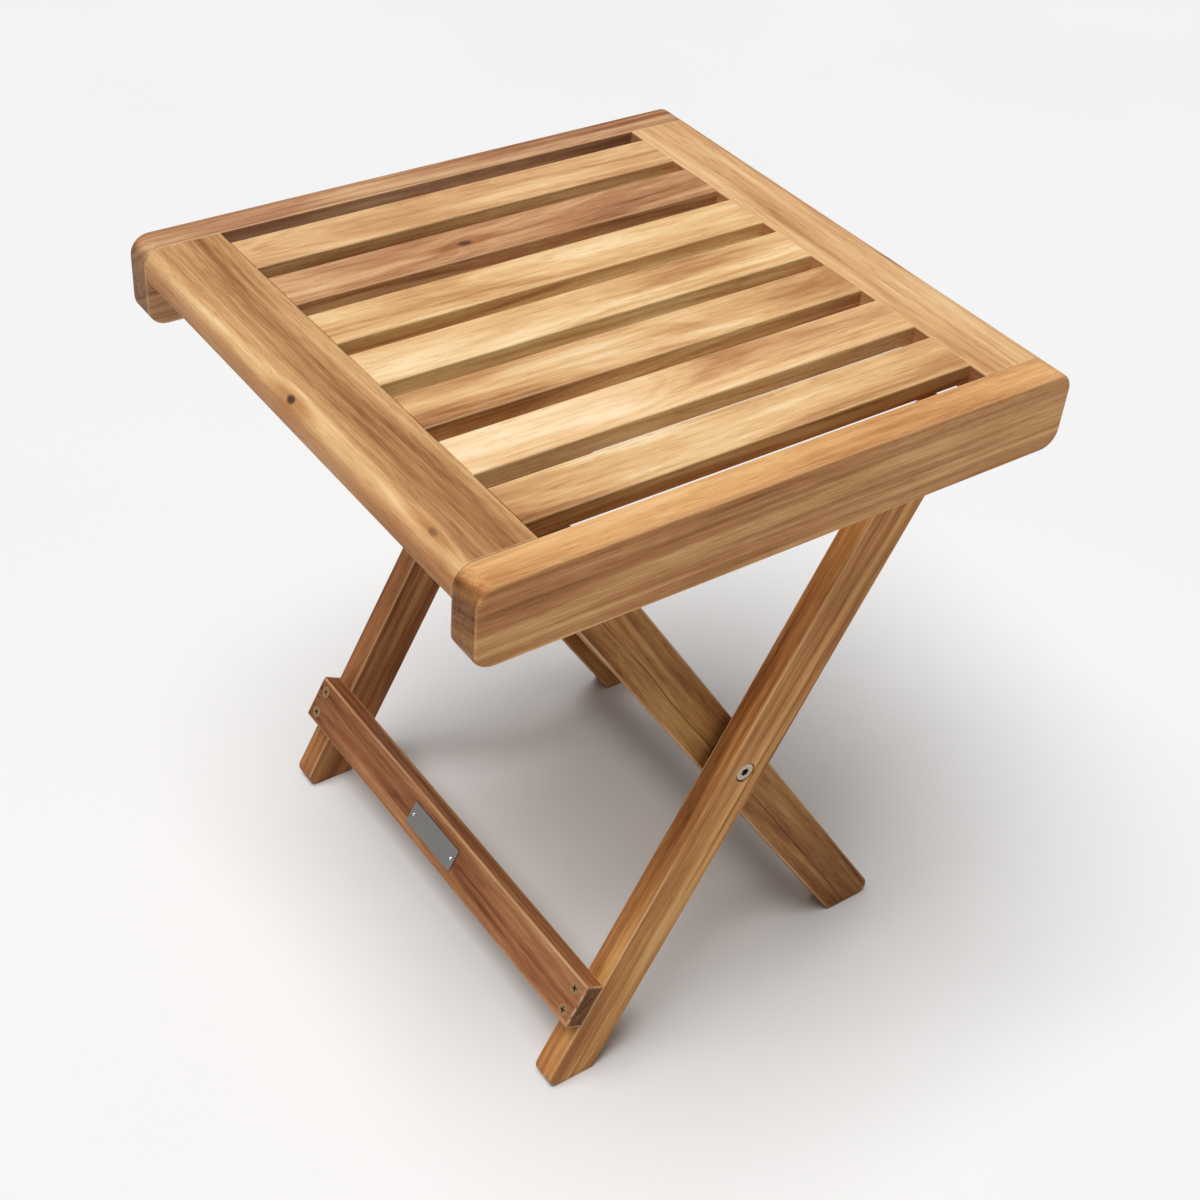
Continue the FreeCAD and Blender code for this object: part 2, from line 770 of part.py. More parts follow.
def top_bar():
    """The round bar between the inner legs' tops, which the seat's notch blocks drop over."""
    bar = turned(
        "top_bar",
        [
            ("0", "-(inner_inside_y + bar_socket_depth)"),
            ("top_bar_diameter / 2", "-(inner_inside_y + bar_socket_depth)"),
            ("top_bar_diameter / 2", "inner_inside_y + bar_socket_depth"),
            ("0", "inner_inside_y + bar_socket_depth"),
        ],
    )
    for way in (-1, 1):
        pilot = new_sketch(bar, LEVEL, f"{way} * (inner_inside_y + bar_socket_depth)")
        draw_circle(pilot, "0", "0", "screw_diameter + 2 * glue_gap")
        depth = "screw_length - leg_thickness + bar_socket_depth + hole_end_gap"
        pocket(bar, pilot, depth, into_normal=way < 0)
    place(bar, "bar_x", "0", "bar_z", X_AXIS, "90")
    return add_node(bar)


def top_bar_screws():
    master = screw_master("top_bar_screw", "screw_length")
    spots = []
    for side in SIDES:
        spots.append(("bar_x", signed(side, "inner_face_y"), "bar_z", X_AXIS, facing(side)))
    return group("top_bar_screws", master, spots)


def inner_stretcher():
    """A board between the inner legs near their feet, with a stub tenon at each end."""
    body = new_body("inner_stretcher")
    sketch = new_sketch(body, UP_AND_ACROSS)
    draw_rectangle(
        sketch,
        "-inner_stretcher_thickness / 2",
        "inner_stretcher_thickness / 2",
        "-stretcher_middle - inner_stretcher_height / 2",
        "-stretcher_middle + inner_stretcher_height / 2",
    )
    pad(body, sketch, "2 * inner_inside_y")
    fillet(body, "leg_easing", lambda e: is_straight(e, Y_AXIS))
    tenons = new_sketch(body, UP_AND_ACROSS)
    draw_rectangle(
        tenons,
        "-inner_tenon_thickness / 2",
        "inner_tenon_thickness / 2",
        "-stretcher_middle - inner_tenon_height / 2",
        "-stretcher_middle + inner_tenon_height / 2",
    )
    pad(body, tenons, "2 * (inner_inside_y + bar_socket_depth)")
    place(body, "cross_offset", "0", "cross_height", Y_AXIS, "-inner_lean")
    return add_node(body)


def notch_block(side):
    """A block under a slat with a notch over the top bar. Its hook on the left stops the legs
    from spreading, and its right side is cut away so that the bar can leave as the seat lifts."""
    body = new_body(f"notch_block_{side}")
    sketch = new_sketch(body, UP_AND_ACROSS)
    draw_outline(
        sketch,
        [
            ("block_left", "bar_z"),
            ("bar_x", "bar_z"),
            ("bar_x", "block_lead_z"),
            ("block_right", "block_lead_z"),
            ("block_right", "slat_underside"),
            ("block_left", "slat_underside"),
        ],
    )
    pad(body, sketch, "block_width")
    notch = new_sketch(body, UP_AND_ACROSS)
    draw_circle(notch, "bar_x", "bar_z", "2 * notch_radius")
    pocket_through(body, notch)
    for spot in ("block_screw_hook_x", "block_screw_lead_x"):
        shank = new_sketch(body, LEVEL, "slat_underside")
        draw_circle(shank, spot, "0", "screw_diameter + 2 * glue_gap")
        pocket(body, shank, "rail_depth")
        well = new_sketch(body, LEVEL, "block_screw_top - screw_length + screw_head_height")
        draw_circle(well, spot, "0", "screw_head_diameter + 2 * counterbore_gap")
        pocket(body, well, "rail_depth")
    far_end = value("block_right")
    lead_height = value("block_lead_z")
    fillet(
        body,
        "edge_easing",
        lambda e: is_straight(e, Y_AXIS) and lies_at(e, X_AXIS, far_end) and lies_at(e, Z_AXIS, lead_height),
    )
    place(body, depth=signed(side, "block_y"))
    return add_node(body)


def block_screws():
    master = screw_master("block_screw", "screw_length")
    spots = []
    for side in SIDES:
        for across in ("block_screw_hook_x", "block_screw_lead_x"):
            up = "block_screw_top - screw_length"
            spots.append((across, signed(side, "block_y"), up, X_AXIS, "180"))
    return group("block_screws", master, spots)


# ---------------------------------------------------------------- pivots


def pivot_sleeve(side):
    """A sleeve nut through both legs: a thin flat head with a hex socket, sunk in the outer leg,
    and a hollow barrel that the inner leg turns on."""
    barrel = "sleeve_diameter / 2"
    bore = "sleeve_bore / 2"
    body = turned(
        f"pivot_sleeve_{side}",
        [
            ("0", "sleeve_head_height"),
            ("sleeve_head_diameter / 2 - sleeve_head_height / 4", "sleeve_head_height"),
            ("sleeve_head_diameter / 2", "sleeve_head_height * 3 / 4"),
            ("sleeve_head_diameter / 2", "0"),
            (barrel, "0"),
            (barrel, "-sleeve_length"),
            (bore, "-sleeve_length"),
            (bore, "-sleeve_solid"),
            ("0", "-sleeve_solid"),
        ],
    )
    socket = new_sketch(body, LEVEL, "sleeve_head_height")
    half = "hex_key / 2"
    corner = "hex_key / 2 / cos(30)"
    draw_outline(
        socket,
        [
            (corner, "0"),
            (f"{corner} / 2", half),
            (f"-{corner} / 2", half),
            (f"-{corner}", "0"),
            (f"-{corner} / 2", f"-{half}"),
            (f"{corner} / 2", f"-{half}"),
        ],
    )
    pocket(body, socket, "hex_depth")
    place(body, "cross_offset", signed(side, "sleeve_seat_y"), "cross_height", X_AXIS, facing(side))
    return add_node(body)


def pivot_bolt(side):
    """The bolt that screws into the sleeve from the inner leg's inner face."""
    body = turned(
        f"pivot_bolt_{side}",
        [
            ("0", "bolt_engagement + washer_thickness + hole_end_gap"),
            ("bolt_diameter / 2", "bolt_engagement + washer_thickness + hole_end_gap"),
            ("bolt_diameter / 2", "0"),
            ("bolt_head_diameter / 2", "0"),
            ("bolt_head_diameter / 2", "-bolt_head_height + bolt_head_rounding"),
            ("bolt_head_diameter / 2 - bolt_head_rounding", "-bolt_head_height"),
            ("0", "-bolt_head_height"),
        ],
    )
    depth = signed(side, "inner_inside_y - washer_thickness")
    place(body, "cross_offset", depth, "cross_height", X_AXIS, facing(side))
    return add_node(body)


def pivot_washer(side):
    """The washer under the bolt's head, on the inner leg's inner face."""
    body = turned(
        f"pivot_washer_{side}",
        ring_profile(
            "bolt_diameter / 2 + running_gap", "washer_diameter / 2", "-washer_thickness", "0"
        ),
    )
    place(body, "cross_offset", signed(side, "inner_inside_y"), "cross_height", X_AXIS, facing(side))
    return add_node(body)


def pivot_spacer(side):
    """The ring that keeps the outer and the inner leg apart."""
    body = turned(
        f"pivot_spacer_{side}",
        ring_profile("sleeve_diameter / 2 + running_gap", "spacer_diameter / 2", "0", "pair_gap"),
    )
    place(body, "cross_offset", signed(side, "inner_face_y"), "cross_height", X_AXIS, facing(side))
    return add_node(body)


def seat_bolt(side):
    """The shoulder bolt that hinges the seat: its head bears on the outer leg's inner face, its
    shoulder passes the leg and the washer, and its thread holds in the rail's insert."""
    shoulder_end = "leg_thickness + rail_gap"
    body = turned(
        f"seat_bolt_{side}",
        [
            ("0", f"{shoulder_end} + seat_bolt_thread_length"),
            ("seat_bolt_thread / 2", f"{shoulder_end} + seat_bolt_thread_length"),
            ("seat_bolt_thread / 2", shoulder_end),
            ("seat_bolt_shoulder / 2", shoulder_end),
            ("seat_bolt_shoulder / 2", "0"),
            ("bolt_head_diameter / 2", "0"),
            ("bolt_head_diameter / 2", "-bolt_head_height + bolt_head_rounding"),
            ("bolt_head_diameter / 2 - bolt_head_rounding", "-bolt_head_height"),
            ("0", "-bolt_head_height"),
        ],
    )
    place(body, "hinge_x", signed(side, "outer_inside_y"), "hinge_z", X_AXIS, facing(side))
    return add_node(body)


def seat_washer(side):
    """The thin ring between the outer leg and the rail."""
    body = turned(
        f"seat_washer_{side}",
        ring_profile("seat_bolt_shoulder / 2 + running_gap", "washer_diameter / 2", "0", "rail_gap"),
    )
    place(body, "hinge_x", signed(side, "outer_face_y"), "hinge_z", X_AXIS, facing(side))
    return add_node(body)


def rail_insert(side):
    """The threaded ring sunk in the rail's inner face."""
    body = turned(
        f"rail_insert_{side}",
        ring_profile("seat_bolt_thread / 2 + running_gap", "insert_diameter / 2", "0", "insert_length"),
    )
    place(body, "hinge_x", signed(side, "opening_width / 2"), "hinge_z", X_AXIS, facing(side))
    return add_node(body)


# ---------------------------------------------------------------- the stool

for end, sign in (("left", -1), ("right", 1)):
    end_board(end, sign)
slat_total = int(value("slat_count"))
block_slats = ((slat_total + 1) // 2 - 2, (slat_total + 1) // 2 + 2)
for number in range(1, slat_total + 1):
    slat(number, number in block_slats)
frame_dowels()
stretcher()
stretcher_screws()
label_plate()
label_pins()
top_bar()
top_bar_screws()
inner_stretcher()
block_screws()
for side in SIDES:
    side_rail(side)
    outer_leg(side)
    inner_leg(side)
    notch_block(side)
    pivot_sleeve(side)
    pivot_bolt(side)
    pivot_washer(side)
    pivot_spacer(side)
    seat_bolt(side)
    seat_washer(side)
    rail_insert(side)
doc.recompute()

for thing in doc.Objects:
    if "Invalid" in thing.State or "Error" in thing.State:
        raise RuntimeError(f"{thing.Label} is {thing.State}")
for name, piece in NODES.items():
    if piece.Shape.isNull() or not piece.Shape.isValid():
        raise RuntimeError(f"{name} has no sound shape")

os.makedirs("parts", exist_ok=True)
for name, piece in NODES.items():
    piece.Shape.exportStep(f"parts/{name}.step")
print(f"{len(NODES)} nodes written")
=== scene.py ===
# %% [markdown]
# # A folding slatted shower stool in oiled acacia
# The stool comes in as a finished frame: forty pieces of wood and metal, each already in its place,
# in metres. This lesson gives it its looks. Most of the work is one material, solid wood, because a
# stool of plain boards is only as good as its grain. The slats and the fasteners are built again as
# finer pieces; every other piece keeps its shape and gets a finish of its own.

import json
import math
import random

import bpy
from mathutils import Euler, Matrix, Vector


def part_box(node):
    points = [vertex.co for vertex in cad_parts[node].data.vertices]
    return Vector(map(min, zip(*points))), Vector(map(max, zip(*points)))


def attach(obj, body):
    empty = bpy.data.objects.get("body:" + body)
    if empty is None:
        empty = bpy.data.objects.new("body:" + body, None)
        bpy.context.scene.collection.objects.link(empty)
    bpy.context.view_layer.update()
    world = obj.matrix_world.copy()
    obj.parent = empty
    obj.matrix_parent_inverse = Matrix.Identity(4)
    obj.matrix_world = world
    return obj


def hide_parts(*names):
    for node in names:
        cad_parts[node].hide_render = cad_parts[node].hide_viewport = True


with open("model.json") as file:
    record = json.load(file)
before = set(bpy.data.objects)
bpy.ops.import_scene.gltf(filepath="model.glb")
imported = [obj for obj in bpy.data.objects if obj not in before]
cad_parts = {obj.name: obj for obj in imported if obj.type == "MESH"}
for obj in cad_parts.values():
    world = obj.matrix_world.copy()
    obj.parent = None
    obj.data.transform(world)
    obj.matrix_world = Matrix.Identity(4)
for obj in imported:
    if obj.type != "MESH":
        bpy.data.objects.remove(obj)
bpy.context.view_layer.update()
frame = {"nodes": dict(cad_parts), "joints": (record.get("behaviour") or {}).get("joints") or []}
nodes = frame["nodes"]
scene = bpy.context.scene

# %% [markdown]
# ## Where things are
# A board's look is laid out in the board's own frame: x along its grain, y across, z through its
# thickness. Straight pieces only need their box. The legs lean, so their angle is worked out from the
# hinges: both pairs cross at one pivot, and each has a second point on its own line, the seat's hinge
# for the outer legs and the middle of the top bar for the inner ones.


# %% The stool's own landmarks
def middle(node):
    """The centre of a piece's box."""
    low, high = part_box(node)
    return (low + high) / 2


hinges = {joint["name"]: Vector(joint["pos_m"]) for joint in frame["joints"]}
cross = hinges["leg_fold"]
to_hinge = hinges["seat_fold"] - cross
to_bar = middle("top_bar") - cross
outer_lean = math.atan2(to_hinge.x, to_hinge.z)
inner_lean = math.atan2(to_bar.x, to_bar.z)
print("the outer legs lean", round(math.degrees(outer_lean), 1), "degrees")
print("the inner legs lean", round(math.degrees(inner_lean), 1), "degrees")

# %% [markdown]
# ## Shader sums written as sums
# A node tree for wood is mostly arithmetic, and arithmetic reads best as an expression. This class
# wraps one socket. Adding, subtracting and multiplying wrapped sockets adds Math nodes, and one
# method, `node`, makes every other kind of node from its type, its settings and its inputs.


# %% A small language for node trees
class Value:
    """One output socket of a node tree, with arithmetic."""

    def __init__(self, tree, socket):
        self.tree = tree
        self.socket = socket

    def node(self, kind, settings=None, output=0, **inputs):
        """Adds a node. Settings come first, because some of them change which sockets it has. An input
        named i0, i1 and so on is found by its number, any other by its name."""
        made = self.tree.nodes.new(kind)
        for name, setting in (settings or {}).items():
            setattr(made, name, setting)
        for name, given in inputs.items():
            key = int(name[1:]) if name[0] == "i" and name[1:].isdigit() else name.replace("_", " ")
            connect(self.tree, made.inputs[key], given)
        return Value(self.tree, made.outputs[output])

    def math(self, operation, *others):
        inputs = {f"i{number + 1}": other for number, other in enumerate(others)}
        return self.node("ShaderNodeMath", {"operation": operation}, i0=self, **inputs)

    def __add__(self, other):
        return self.math("ADD", other)

    def __radd__(self, other):
        return self.math("ADD", other)

    def __sub__(self, other):
        return self.math("SUBTRACT", other)

    def __rsub__(self, other):
        return self.node("ShaderNodeMath", {"operation": "SUBTRACT"}, i0=other, i1=self)

    def __mul__(self, other):
        return self.math("MULTIPLY", other)

    def __rmul__(self, other):
        return self.math("MULTIPLY", other)

    def __truediv__(self, other):
        return self.math("DIVIDE", other)

    def smooth(self, low, high):
        """0 below low, 1 above high, and a soft step between."""
        settings = {"interpolation_type": "SMOOTHSTEP"}
        return self.node("ShaderNodeMapRange", settings, Value=self, From_Min=low, From_Max=high)


def connect(tree, socket, given):
    """Links a wrapped socket, or sets a plain number, vector or colour."""
    if isinstance(given, Value):
        tree.links.new(given.socket, socket)
    else:
        socket.default_value = given


print("sums on sockets now add Math nodes")

# %% [markdown]
# ## A finish starts as a principled shader
# Every finish in this scene is one Principled BSDF. `new_finish` clears a material, and hands back a
# starting value to hang the first node on, so that each recipe below reads from its pattern to its
# colour. Settings that are the same all over the surface are written straight on the shader. Image
# textures could be used too, but a pattern worked out from the place has no seams and no end.


# %% The start and the end of every material
def new_finish(name):
    material = bpy.data.materials.new(name)
    material.use_nodes = True
    tree = material.node_tree
    tree.nodes.clear()
    place = tree.nodes.new("ShaderNodeTexCoord")
    return material, Value(tree, place.outputs["Object"])


def close_finish(material, constants, **varying):
    """The Principled shader, with its constant sockets and the ones that vary over the surface."""
    tree = material.node_tree
    shader = tree.nodes.new("ShaderNodeBsdfPrincipled")
    for name, number in constants.items():
        shader.inputs[name].default_value = number
    for name, value in varying.items():
        connect(tree, shader.inputs[name.replace("_", " ")], value)
    end = tree.nodes.new("ShaderNodeOutputMaterial")
    tree.links.new(shader.outputs["BSDF"], end.inputs["Surface"])
    return material


def mix(factor, low, high, blend="MIX"):
    """Mixes two colours by the factor, in the way that blend names."""
    start = next(part for part in (factor, low, high) if isinstance(part, Value))
    settings = {"data_type": "RGBA", "blend_type": blend}
    return start.node("ShaderNodeMix", settings, output=2, Factor=factor, i6=low, i7=high)


def noise(place, scale, detail=2.0, roughness=0.5):
    """Smooth noise between 0 and 1."""
    settings = {"noise_dimensions": "3D"}
    return place.node(
        "ShaderNodeTexNoise", settings, Vector=place, Scale=scale, Detail=detail, Roughness=roughness
    )


def part(vector, axis):
    """One of a vector's three numbers: 0 for x, 1 for y, 2 for z."""
    return vector.node("ShaderNodeSeparateXYZ", output=axis, Vector=vector)


def stretched(place, along, across, through):
    """Scales a position, so that a round pattern becomes a long one."""
    return place.node(
        "ShaderNodeVectorMath", {"operation": "MULTIPLY"}, i0=place, i1=(along, across, through)
    )


def shifted(place, offset):
    return place.node("ShaderNodeVectorMath", {"operation": "ADD"}, i0=place, i1=offset)


print("one shader per finish")

# %% [markdown]
# ## How a board is cut from a log
# Real boards are slices of a tree, so the wood is solid: growth rings are cylinders round the pith, a
# line somewhere outside the board, and the saw decides what they draw. Cut flat, they run as long
# flames and stripes on the face and as short arcs on the end, with no seam where two faces meet. The
# log isn't straight, so slow noise bends the distance to the pith before it is read. A knot is a
# branch: the rings flow round it and it leaves a dark core. Stripes could be laid on each face on its
# own, but they would break at every edge.


# %% The board's own place in the log
# How many waves a metre each bend of the log has, along the grain and across it.
SLOW_BEND = (2.2, 9.0)
QUICK_BEND = (11.0, 45.0)
QUICK_SHARE = 0.10  # of the whole wander
KNOT_PUSH = 1.8  # how far the rings step aside, in knot sizes
KNOT_FALL = -0.10  # how soon they come back


def grain_noise(log, waves, **look):
    """Noise drawn out along the grain. waves is how many a metre, along and across."""
    along, across = waves
    return noise(stretched(log, along, across, across), 1.0, **look)


def grain_place(position, centre, turn, offset):
    """The position in the board's own frame, in metres, and the same moved to its part of the log."""
    settings = {"vector_type": "TEXTURE"}
    local = position.node(
        "ShaderNodeMapping", settings, Vector=position, Location=centre, Rotation=turn
    )
    return local, shifted(local, offset)


def knot_distance(local, knot, squeeze=0.5):
    """How far a point is from a knot's edge: 1 on the edge, less inside. It is drawn out along the grain."""
    along, across, size = knot[:3]
    flat = stretched(shifted(local, (-along, -across, 0.0)), squeeze, 1.0, 0.1)
    return flat.node("ShaderNodeVectorMath", {"operation": "LENGTH"}, output=1, i0=flat) / size


def pith_distance(local, log, pith, wander, knots, knot_place):
    """How far a point is from the pith, in metres, bent by noise and pushed aside by knots."""
    slow = grain_noise(log, SLOW_BEND, detail=1.0)
    quick = grain_noise(log, QUICK_BEND)
    across = part(local, 1) - pith[0]
    through = part(local, 2) - pith[1]
    radius = (across * across + through * through).math("SQRT")
    radius = radius + (slow - 0.5) * wander + (quick - 0.5) * (wander * QUICK_SHARE)
    for knot in knots:
        near = knot_distance(knot_place, knot)
        radius = radius + (near * near * KNOT_FALL).math("EXPONENT") * (knot[2] * KNOT_PUSH)
    return radius


print("each board can be placed in its own log")

# %% [markdown]
# ## Colour from the rings
# Acacia runs from straw yellow sapwood to red brown heartwood, often inside one board, and its rings
# are uneven. So the ring pattern isn't a regular wave: it is noise read along the distance to the
# pith, which gives wide and narrow bands that still flow with the log. Fibres about one to three
# millimetres wide and open pores run along the grain on top of that. A board's edges are drawn pale,
# partly as wear from handling and partly as a painted highlight along the arris. Its ends soak up oil,
# and now and then a thin dark vein runs up it. Each of these is a mask of its own, so that a board can
# have more or less of it.


# %% Bands, fibres and pores
# Waves a metre again, along the grain and across it.
PORES = (90.0, 1500.0)
PORE_PATCHES = (12.0, 130.0)


def ring_noise(log, radius, waves, detail):
    """Uneven bands that follow the rings. They change slowly along the grain."""
    along, per_metre = waves
    length = part(log, 0) * along
    place = log.node("ShaderNodeCombineXYZ", X=length, Y=radius * per_metre, Z=0.0)
    return noise(place, 1.0, detail=detail, roughness=0.62) - 0.5


def fibre_noise(log, waves):
    return grain_noise(log, waves, roughness=0.6) - 0.5


def pore_dashes(log):
    """Short open pores, some millimetres long and a fraction of one wide, denser in some patches."""
    speck = grain_noise(log, PORES, detail=1.0, roughness=0.4)
    patch = grain_noise(log, PORE_PATCHES, detail=1.0)
    return speck.smooth(0.60, 0.70) * patch.smooth(0.38, 0.62)


print("bands, fibres and pores")

# %% Arrises, veins, ends and sides
VEIN_SWAY = (14.0, 2.0)
VEIN_PATCHES = (9.0, 1.0)
VEIN_BEND = 0.006  # how far a vein wanders, in metres
VEIN_CORE, VEIN_RIM = 0.0001, 0.0009  # where it starts to fade and where it ends, in metres


def edge_wear(local, half, width):
    """1 on the board's arrises and 0 on its faces, from the two nearest of its six faces. The pale edge it
    marks is partly wear and partly a painted highlight.
    """
    gaps = []
    for axis in range(3):
        gaps.append(half[axis] - part(local, axis).math("ABSOLUTE"))
    low = gaps[0].math("MINIMUM", gaps[1])
    high = gaps[0].math("MAXIMUM", gaps[1])
    second = low.math("MAXIMUM", high.math("MINIMUM", gaps[2]))
    return 1.0 - second.smooth(width * 0.3, width)


def vein_line(local, log, place):
    """A thin dark vein that runs up a board, about a millimetre wide, with gaps in it. place is how
    far it lies from the board's middle."""
    sway = grain_noise(log, VEIN_SWAY, detail=3.0) - 0.5
    gap = (part(local, 2) - place + sway * VEIN_BEND).math("ABSOLUTE")
    patch = grain_noise(log, VEIN_PATCHES, detail=1.0)
    return (1.0 - gap.smooth(VEIN_CORE, VEIN_RIM)) * patch.smooth(0.38, 0.52)


def outward(position):
    """The way that the surface faces."""
    return position.node("ShaderNodeTexCoord", output=1)


def end_grain(position, grain_axis):
    """1 where a surface is cut across the grain."""
    way = outward(position)
    along = way.node(
        "ShaderNodeVectorMath", {"operation": "DOT_PRODUCT"}, output=1, i0=way, i1=tuple(grain_axis)
    )
    return along.math("ABSOLUTE").smooth(0.55, 0.95)


def upright(position):
    """1 where a surface stands upright, 0 where it lies flat. It masks the painted shade on the slats' and
    end boards' upright sides.
    """
    return 1.0 - part(outward(position), 2).math("ABSOLUTE").smooth(0.3, 0.8)


print("arrises, veins, ends and upright sides")

# %% [markdown]
# ## One recipe, many boards
# Bands, fibres and clouds add up to one number, the depth of colour, and a ramp turns it into the five
# browns of oiled acacia. Stains round the knots, pores and veins are multiplied in, so that the grain
# shows through them. A material could be made by hand for each board, but then no two would look like
# the same tree.

# %% The browns
ACACIA = (
    (0.00, (0.90, 0.69, 0.42)),
    (0.28, (0.74, 0.47, 0.22)),
    (0.55, (0.52, 0.27, 0.115)),
    (0.80, (0.31, 0.135, 0.054)),
    (1.00, (0.13, 0.050, 0.020)),
)
KNOT_BROWN = (0.070, 0.040, 0.032, 1.0)
# The pale edge colour stands partly for wear and partly for a painted highlight.
PALE_ARRIS = (0.80, 0.56, 0.30, 1.0)
# These shades are multiplied with the wood under them.
KNOT_STAIN = (0.72, 0.57, 0.48, 1.0)
PORE_SHADE = (0.55, 0.40, 0.30, 1.0)
VEIN_SHADE = (0.40, 0.26, 0.20, 1.0)
END_SHADE = (0.44, 0.39, 0.34, 1.0)
# Painted shade on upright sides: the slats' sides in the gaps, and the end boards' sides.
SLAT_SIDE_PAINTED_SHADE = (1.0, 0.94, 0.74, 1.0)
BOARD_SIDE_PAINTED_SHADE = (0.64, 0.46, 0.38, 1.0)


def acacia_colour(depth):
    """The browns of oiled acacia, from straw at 0 to umber at 1."""
    ramp = depth.tree.nodes.new("ShaderNodeValToRGB")
    stops = ramp.color_ramp.elements
    while len(stops) < len(ACACIA):
        stops.new(0.5)
    for stop, (place, colour) in zip(stops, ACACIA):
        stop.position = place
        stop.color = (*colour, 1.0)
    connect(depth.tree, ramp.inputs["Fac"], depth)
    return Value(depth.tree, ramp.outputs["Color"])


def darker(colour, factor, shade):
    """Multiplies a colour by a shade where the factor is 1."""
    return mix(factor, colour, shade, "MULTIPLY")


print("wood is ready to colour:", len(ACACIA), "browns")

# %% The recipe
# Waves a metre of each pattern, along the grain and across it, and its share in the depth of colour.
WIDE_RINGS, WIDE_SHARE = (2.4, 70.0), 0.95
NARROW_RINGS, NARROW_SHARE = (3.6, 230.0), 1.2
CLOUDS, CLOUD_SHARE = (9.0, 40.0), 0.7
BROAD_FIBRE, BROAD_SHARE = (13.0, 320.0), 0.42
THIN_FIBRE, THIN_SHARE = (60.0, 1300.0), 0.44
PORE_STRENGTH, VEIN_STRENGTH, END_AND_SIDE_STRENGTH = 0.4, 0.8, 0.9
SAPWOOD_EDGE = 0.006  # the width of the step into the sapwood, in metres
ARRIS_WIDTH = 0.0016
STAIN_LENGTH = 0.16  # a stain's width over its length
OILED_ROUGHNESS = 0.47
GRAIN_RELIEF = {"Strength": 0.4, "Distance": 0.0004}
OIL = {"IOR": 1.45, "Specular IOR Level": 0.08}


def wood_surface(material, local, log, half, pith, wander, heart, contrast, knots, sapwood, tone, ends_and_side_shade,
                 wear, knot_place=None, pale=0.32, end_and_side_shade=END_SHADE, vein=None):
    """Builds the shader from a board's local place, and closes the material."""
    knot_place = knot_place or local
    radius = pith_distance(local, log, pith, wander, knots, knot_place)
    wide = ring_noise(log, radius, WIDE_RINGS, 1.0)
    narrow = ring_noise(log, radius, NARROW_RINGS, 4.0)
    broad = fibre_noise(log, BROAD_FIBRE)
    thin = fibre_noise(log, THIN_FIBRE)
    cloud = grain_noise(log, CLOUDS, detail=3.0) - 0.5
    pores = pore_dashes(log)

    bands = wide * WIDE_SHARE + narrow * NARROW_SHARE + cloud * CLOUD_SHARE
    depth = heart + contrast * bands + broad * BROAD_SHARE + thin * THIN_SHARE
    if sapwood:
        depth = depth - radius.smooth(sapwood, sapwood + SAPWOOD_EDGE) * pale
    colour = acacia_colour(depth)
    colour = darker(colour, pores * PORE_STRENGTH, PORE_SHADE)
    for knot in knots:
        near = knot_distance(knot_place, knot)
        stain = knot_distance(knot_place, knot, squeeze=STAIN_LENGTH) + narrow * 4.0
        colour = darker(colour, 1.0 - stain.smooth(0.5, 2.3), KNOT_STAIN)
        colour = mix((1.0 - near.smooth(0.5, 1.15)) * knot[3], colour, KNOT_BROWN)
    if vein is not None:
        colour = darker(colour, vein_line(local, log, vein) * VEIN_STRENGTH, VEIN_SHADE)
    # Darker end grain on most boards; on the slats' and end boards' upright sides a painted shade.
    colour = darker(colour, ends_and_side_shade * END_AND_SIDE_STRENGTH, end_and_side_shade)
    colour = darker(colour, 1.0, tone)
    # The pale arrises: partly wear, partly a painted highlight along the edge.
    worn_and_highlit_edge = edge_wear(local, half, ARRIS_WIDTH) * wear * (broad * 3.0 + 0.8).smooth(0.0, 1.2)
    colour = mix(worn_and_highlit_edge, colour, PALE_ARRIS)

    rough = OILED_ROUGHNESS + broad * 0.3 + pores * 0.2 + (narrow * 0.12)
    height = thin * 0.5 + broad * 0.5 - pores * 0.8
    bump = height.node("ShaderNodeBump", Height=height, **GRAIN_RELIEF)
    return close_finish(material, OIL, Base_Color=colour, Roughness=rough, Normal=bump)


print("one recipe holds", len((WIDE_RINGS, NARROW_RINGS, CLOUDS, BROAD_FIBRE, THIN_FIBRE)), "patterns")

# %% [markdown]
# `wood` is the recipe for one board: where its centre is, how it is turned, which part of the log it
# comes from, how much heartwood it holds, and a tone that shifts all of its colours. `sapwood` is the
# distance from the pith at which the pale outer wood begins, and `pale` is how much paler it is. A knot
# is given by its place along and across the board, its size and its strength. On most boards the end
# grain is darker. On the end boards every upright side, such as the ones that show in the gaps, is
# darkened instead as painted shade.


# %% One board's finish
LOG_REACH = 9.0  # how far apart two boards may lie in the log, in metres


def wood(name, centre, turn=(0.0, 0.0, 0.0), half=(0.2, 0.02, 0.01), seed=1, pith=(0.03, -0.05),
         wander=0.02, heart=0.5, contrast=1.0, knots=(), sapwood=None, tone=(1.0, 1.0, 1.0), wear=0.35,
         pale=0.32, vein=None, paint_side_shade=False):
    """The finish of one board that isn't repeated."""
    material, position = new_finish(name)
    draw = random.Random(seed)
    offset = tuple(draw.uniform(-LOG_REACH, LOG_REACH) for _ in range(3))
    local, log = grain_place(position, centre, turn, offset)
    grain_axis = Euler(turn).to_matrix() @ Vector((1.0, 0.0, 0.0))
    # On the end boards the upright sides get a painted shade instead of darker end grain.
    ends_and_side_shade = upright(position) if paint_side_shade else end_grain(position, grain_axis)
    return wood_surface(
        material, local, log, half, pith, wander, heart, contrast, knots, sapwood, (*tone, 1.0), ends_and_side_shade,
        wear, pale=pale, end_and_side_shade=BOARD_SIDE_PAINTED_SHADE if paint_side_shade else END_SHADE, vein=vein,
    )


def give(node, material):
    """Puts a finish on a piece of the frame."""
    mesh = nodes[node].data
    mesh.materials.clear()
    mesh.materials.append(material)


print("wood is ready to cut")

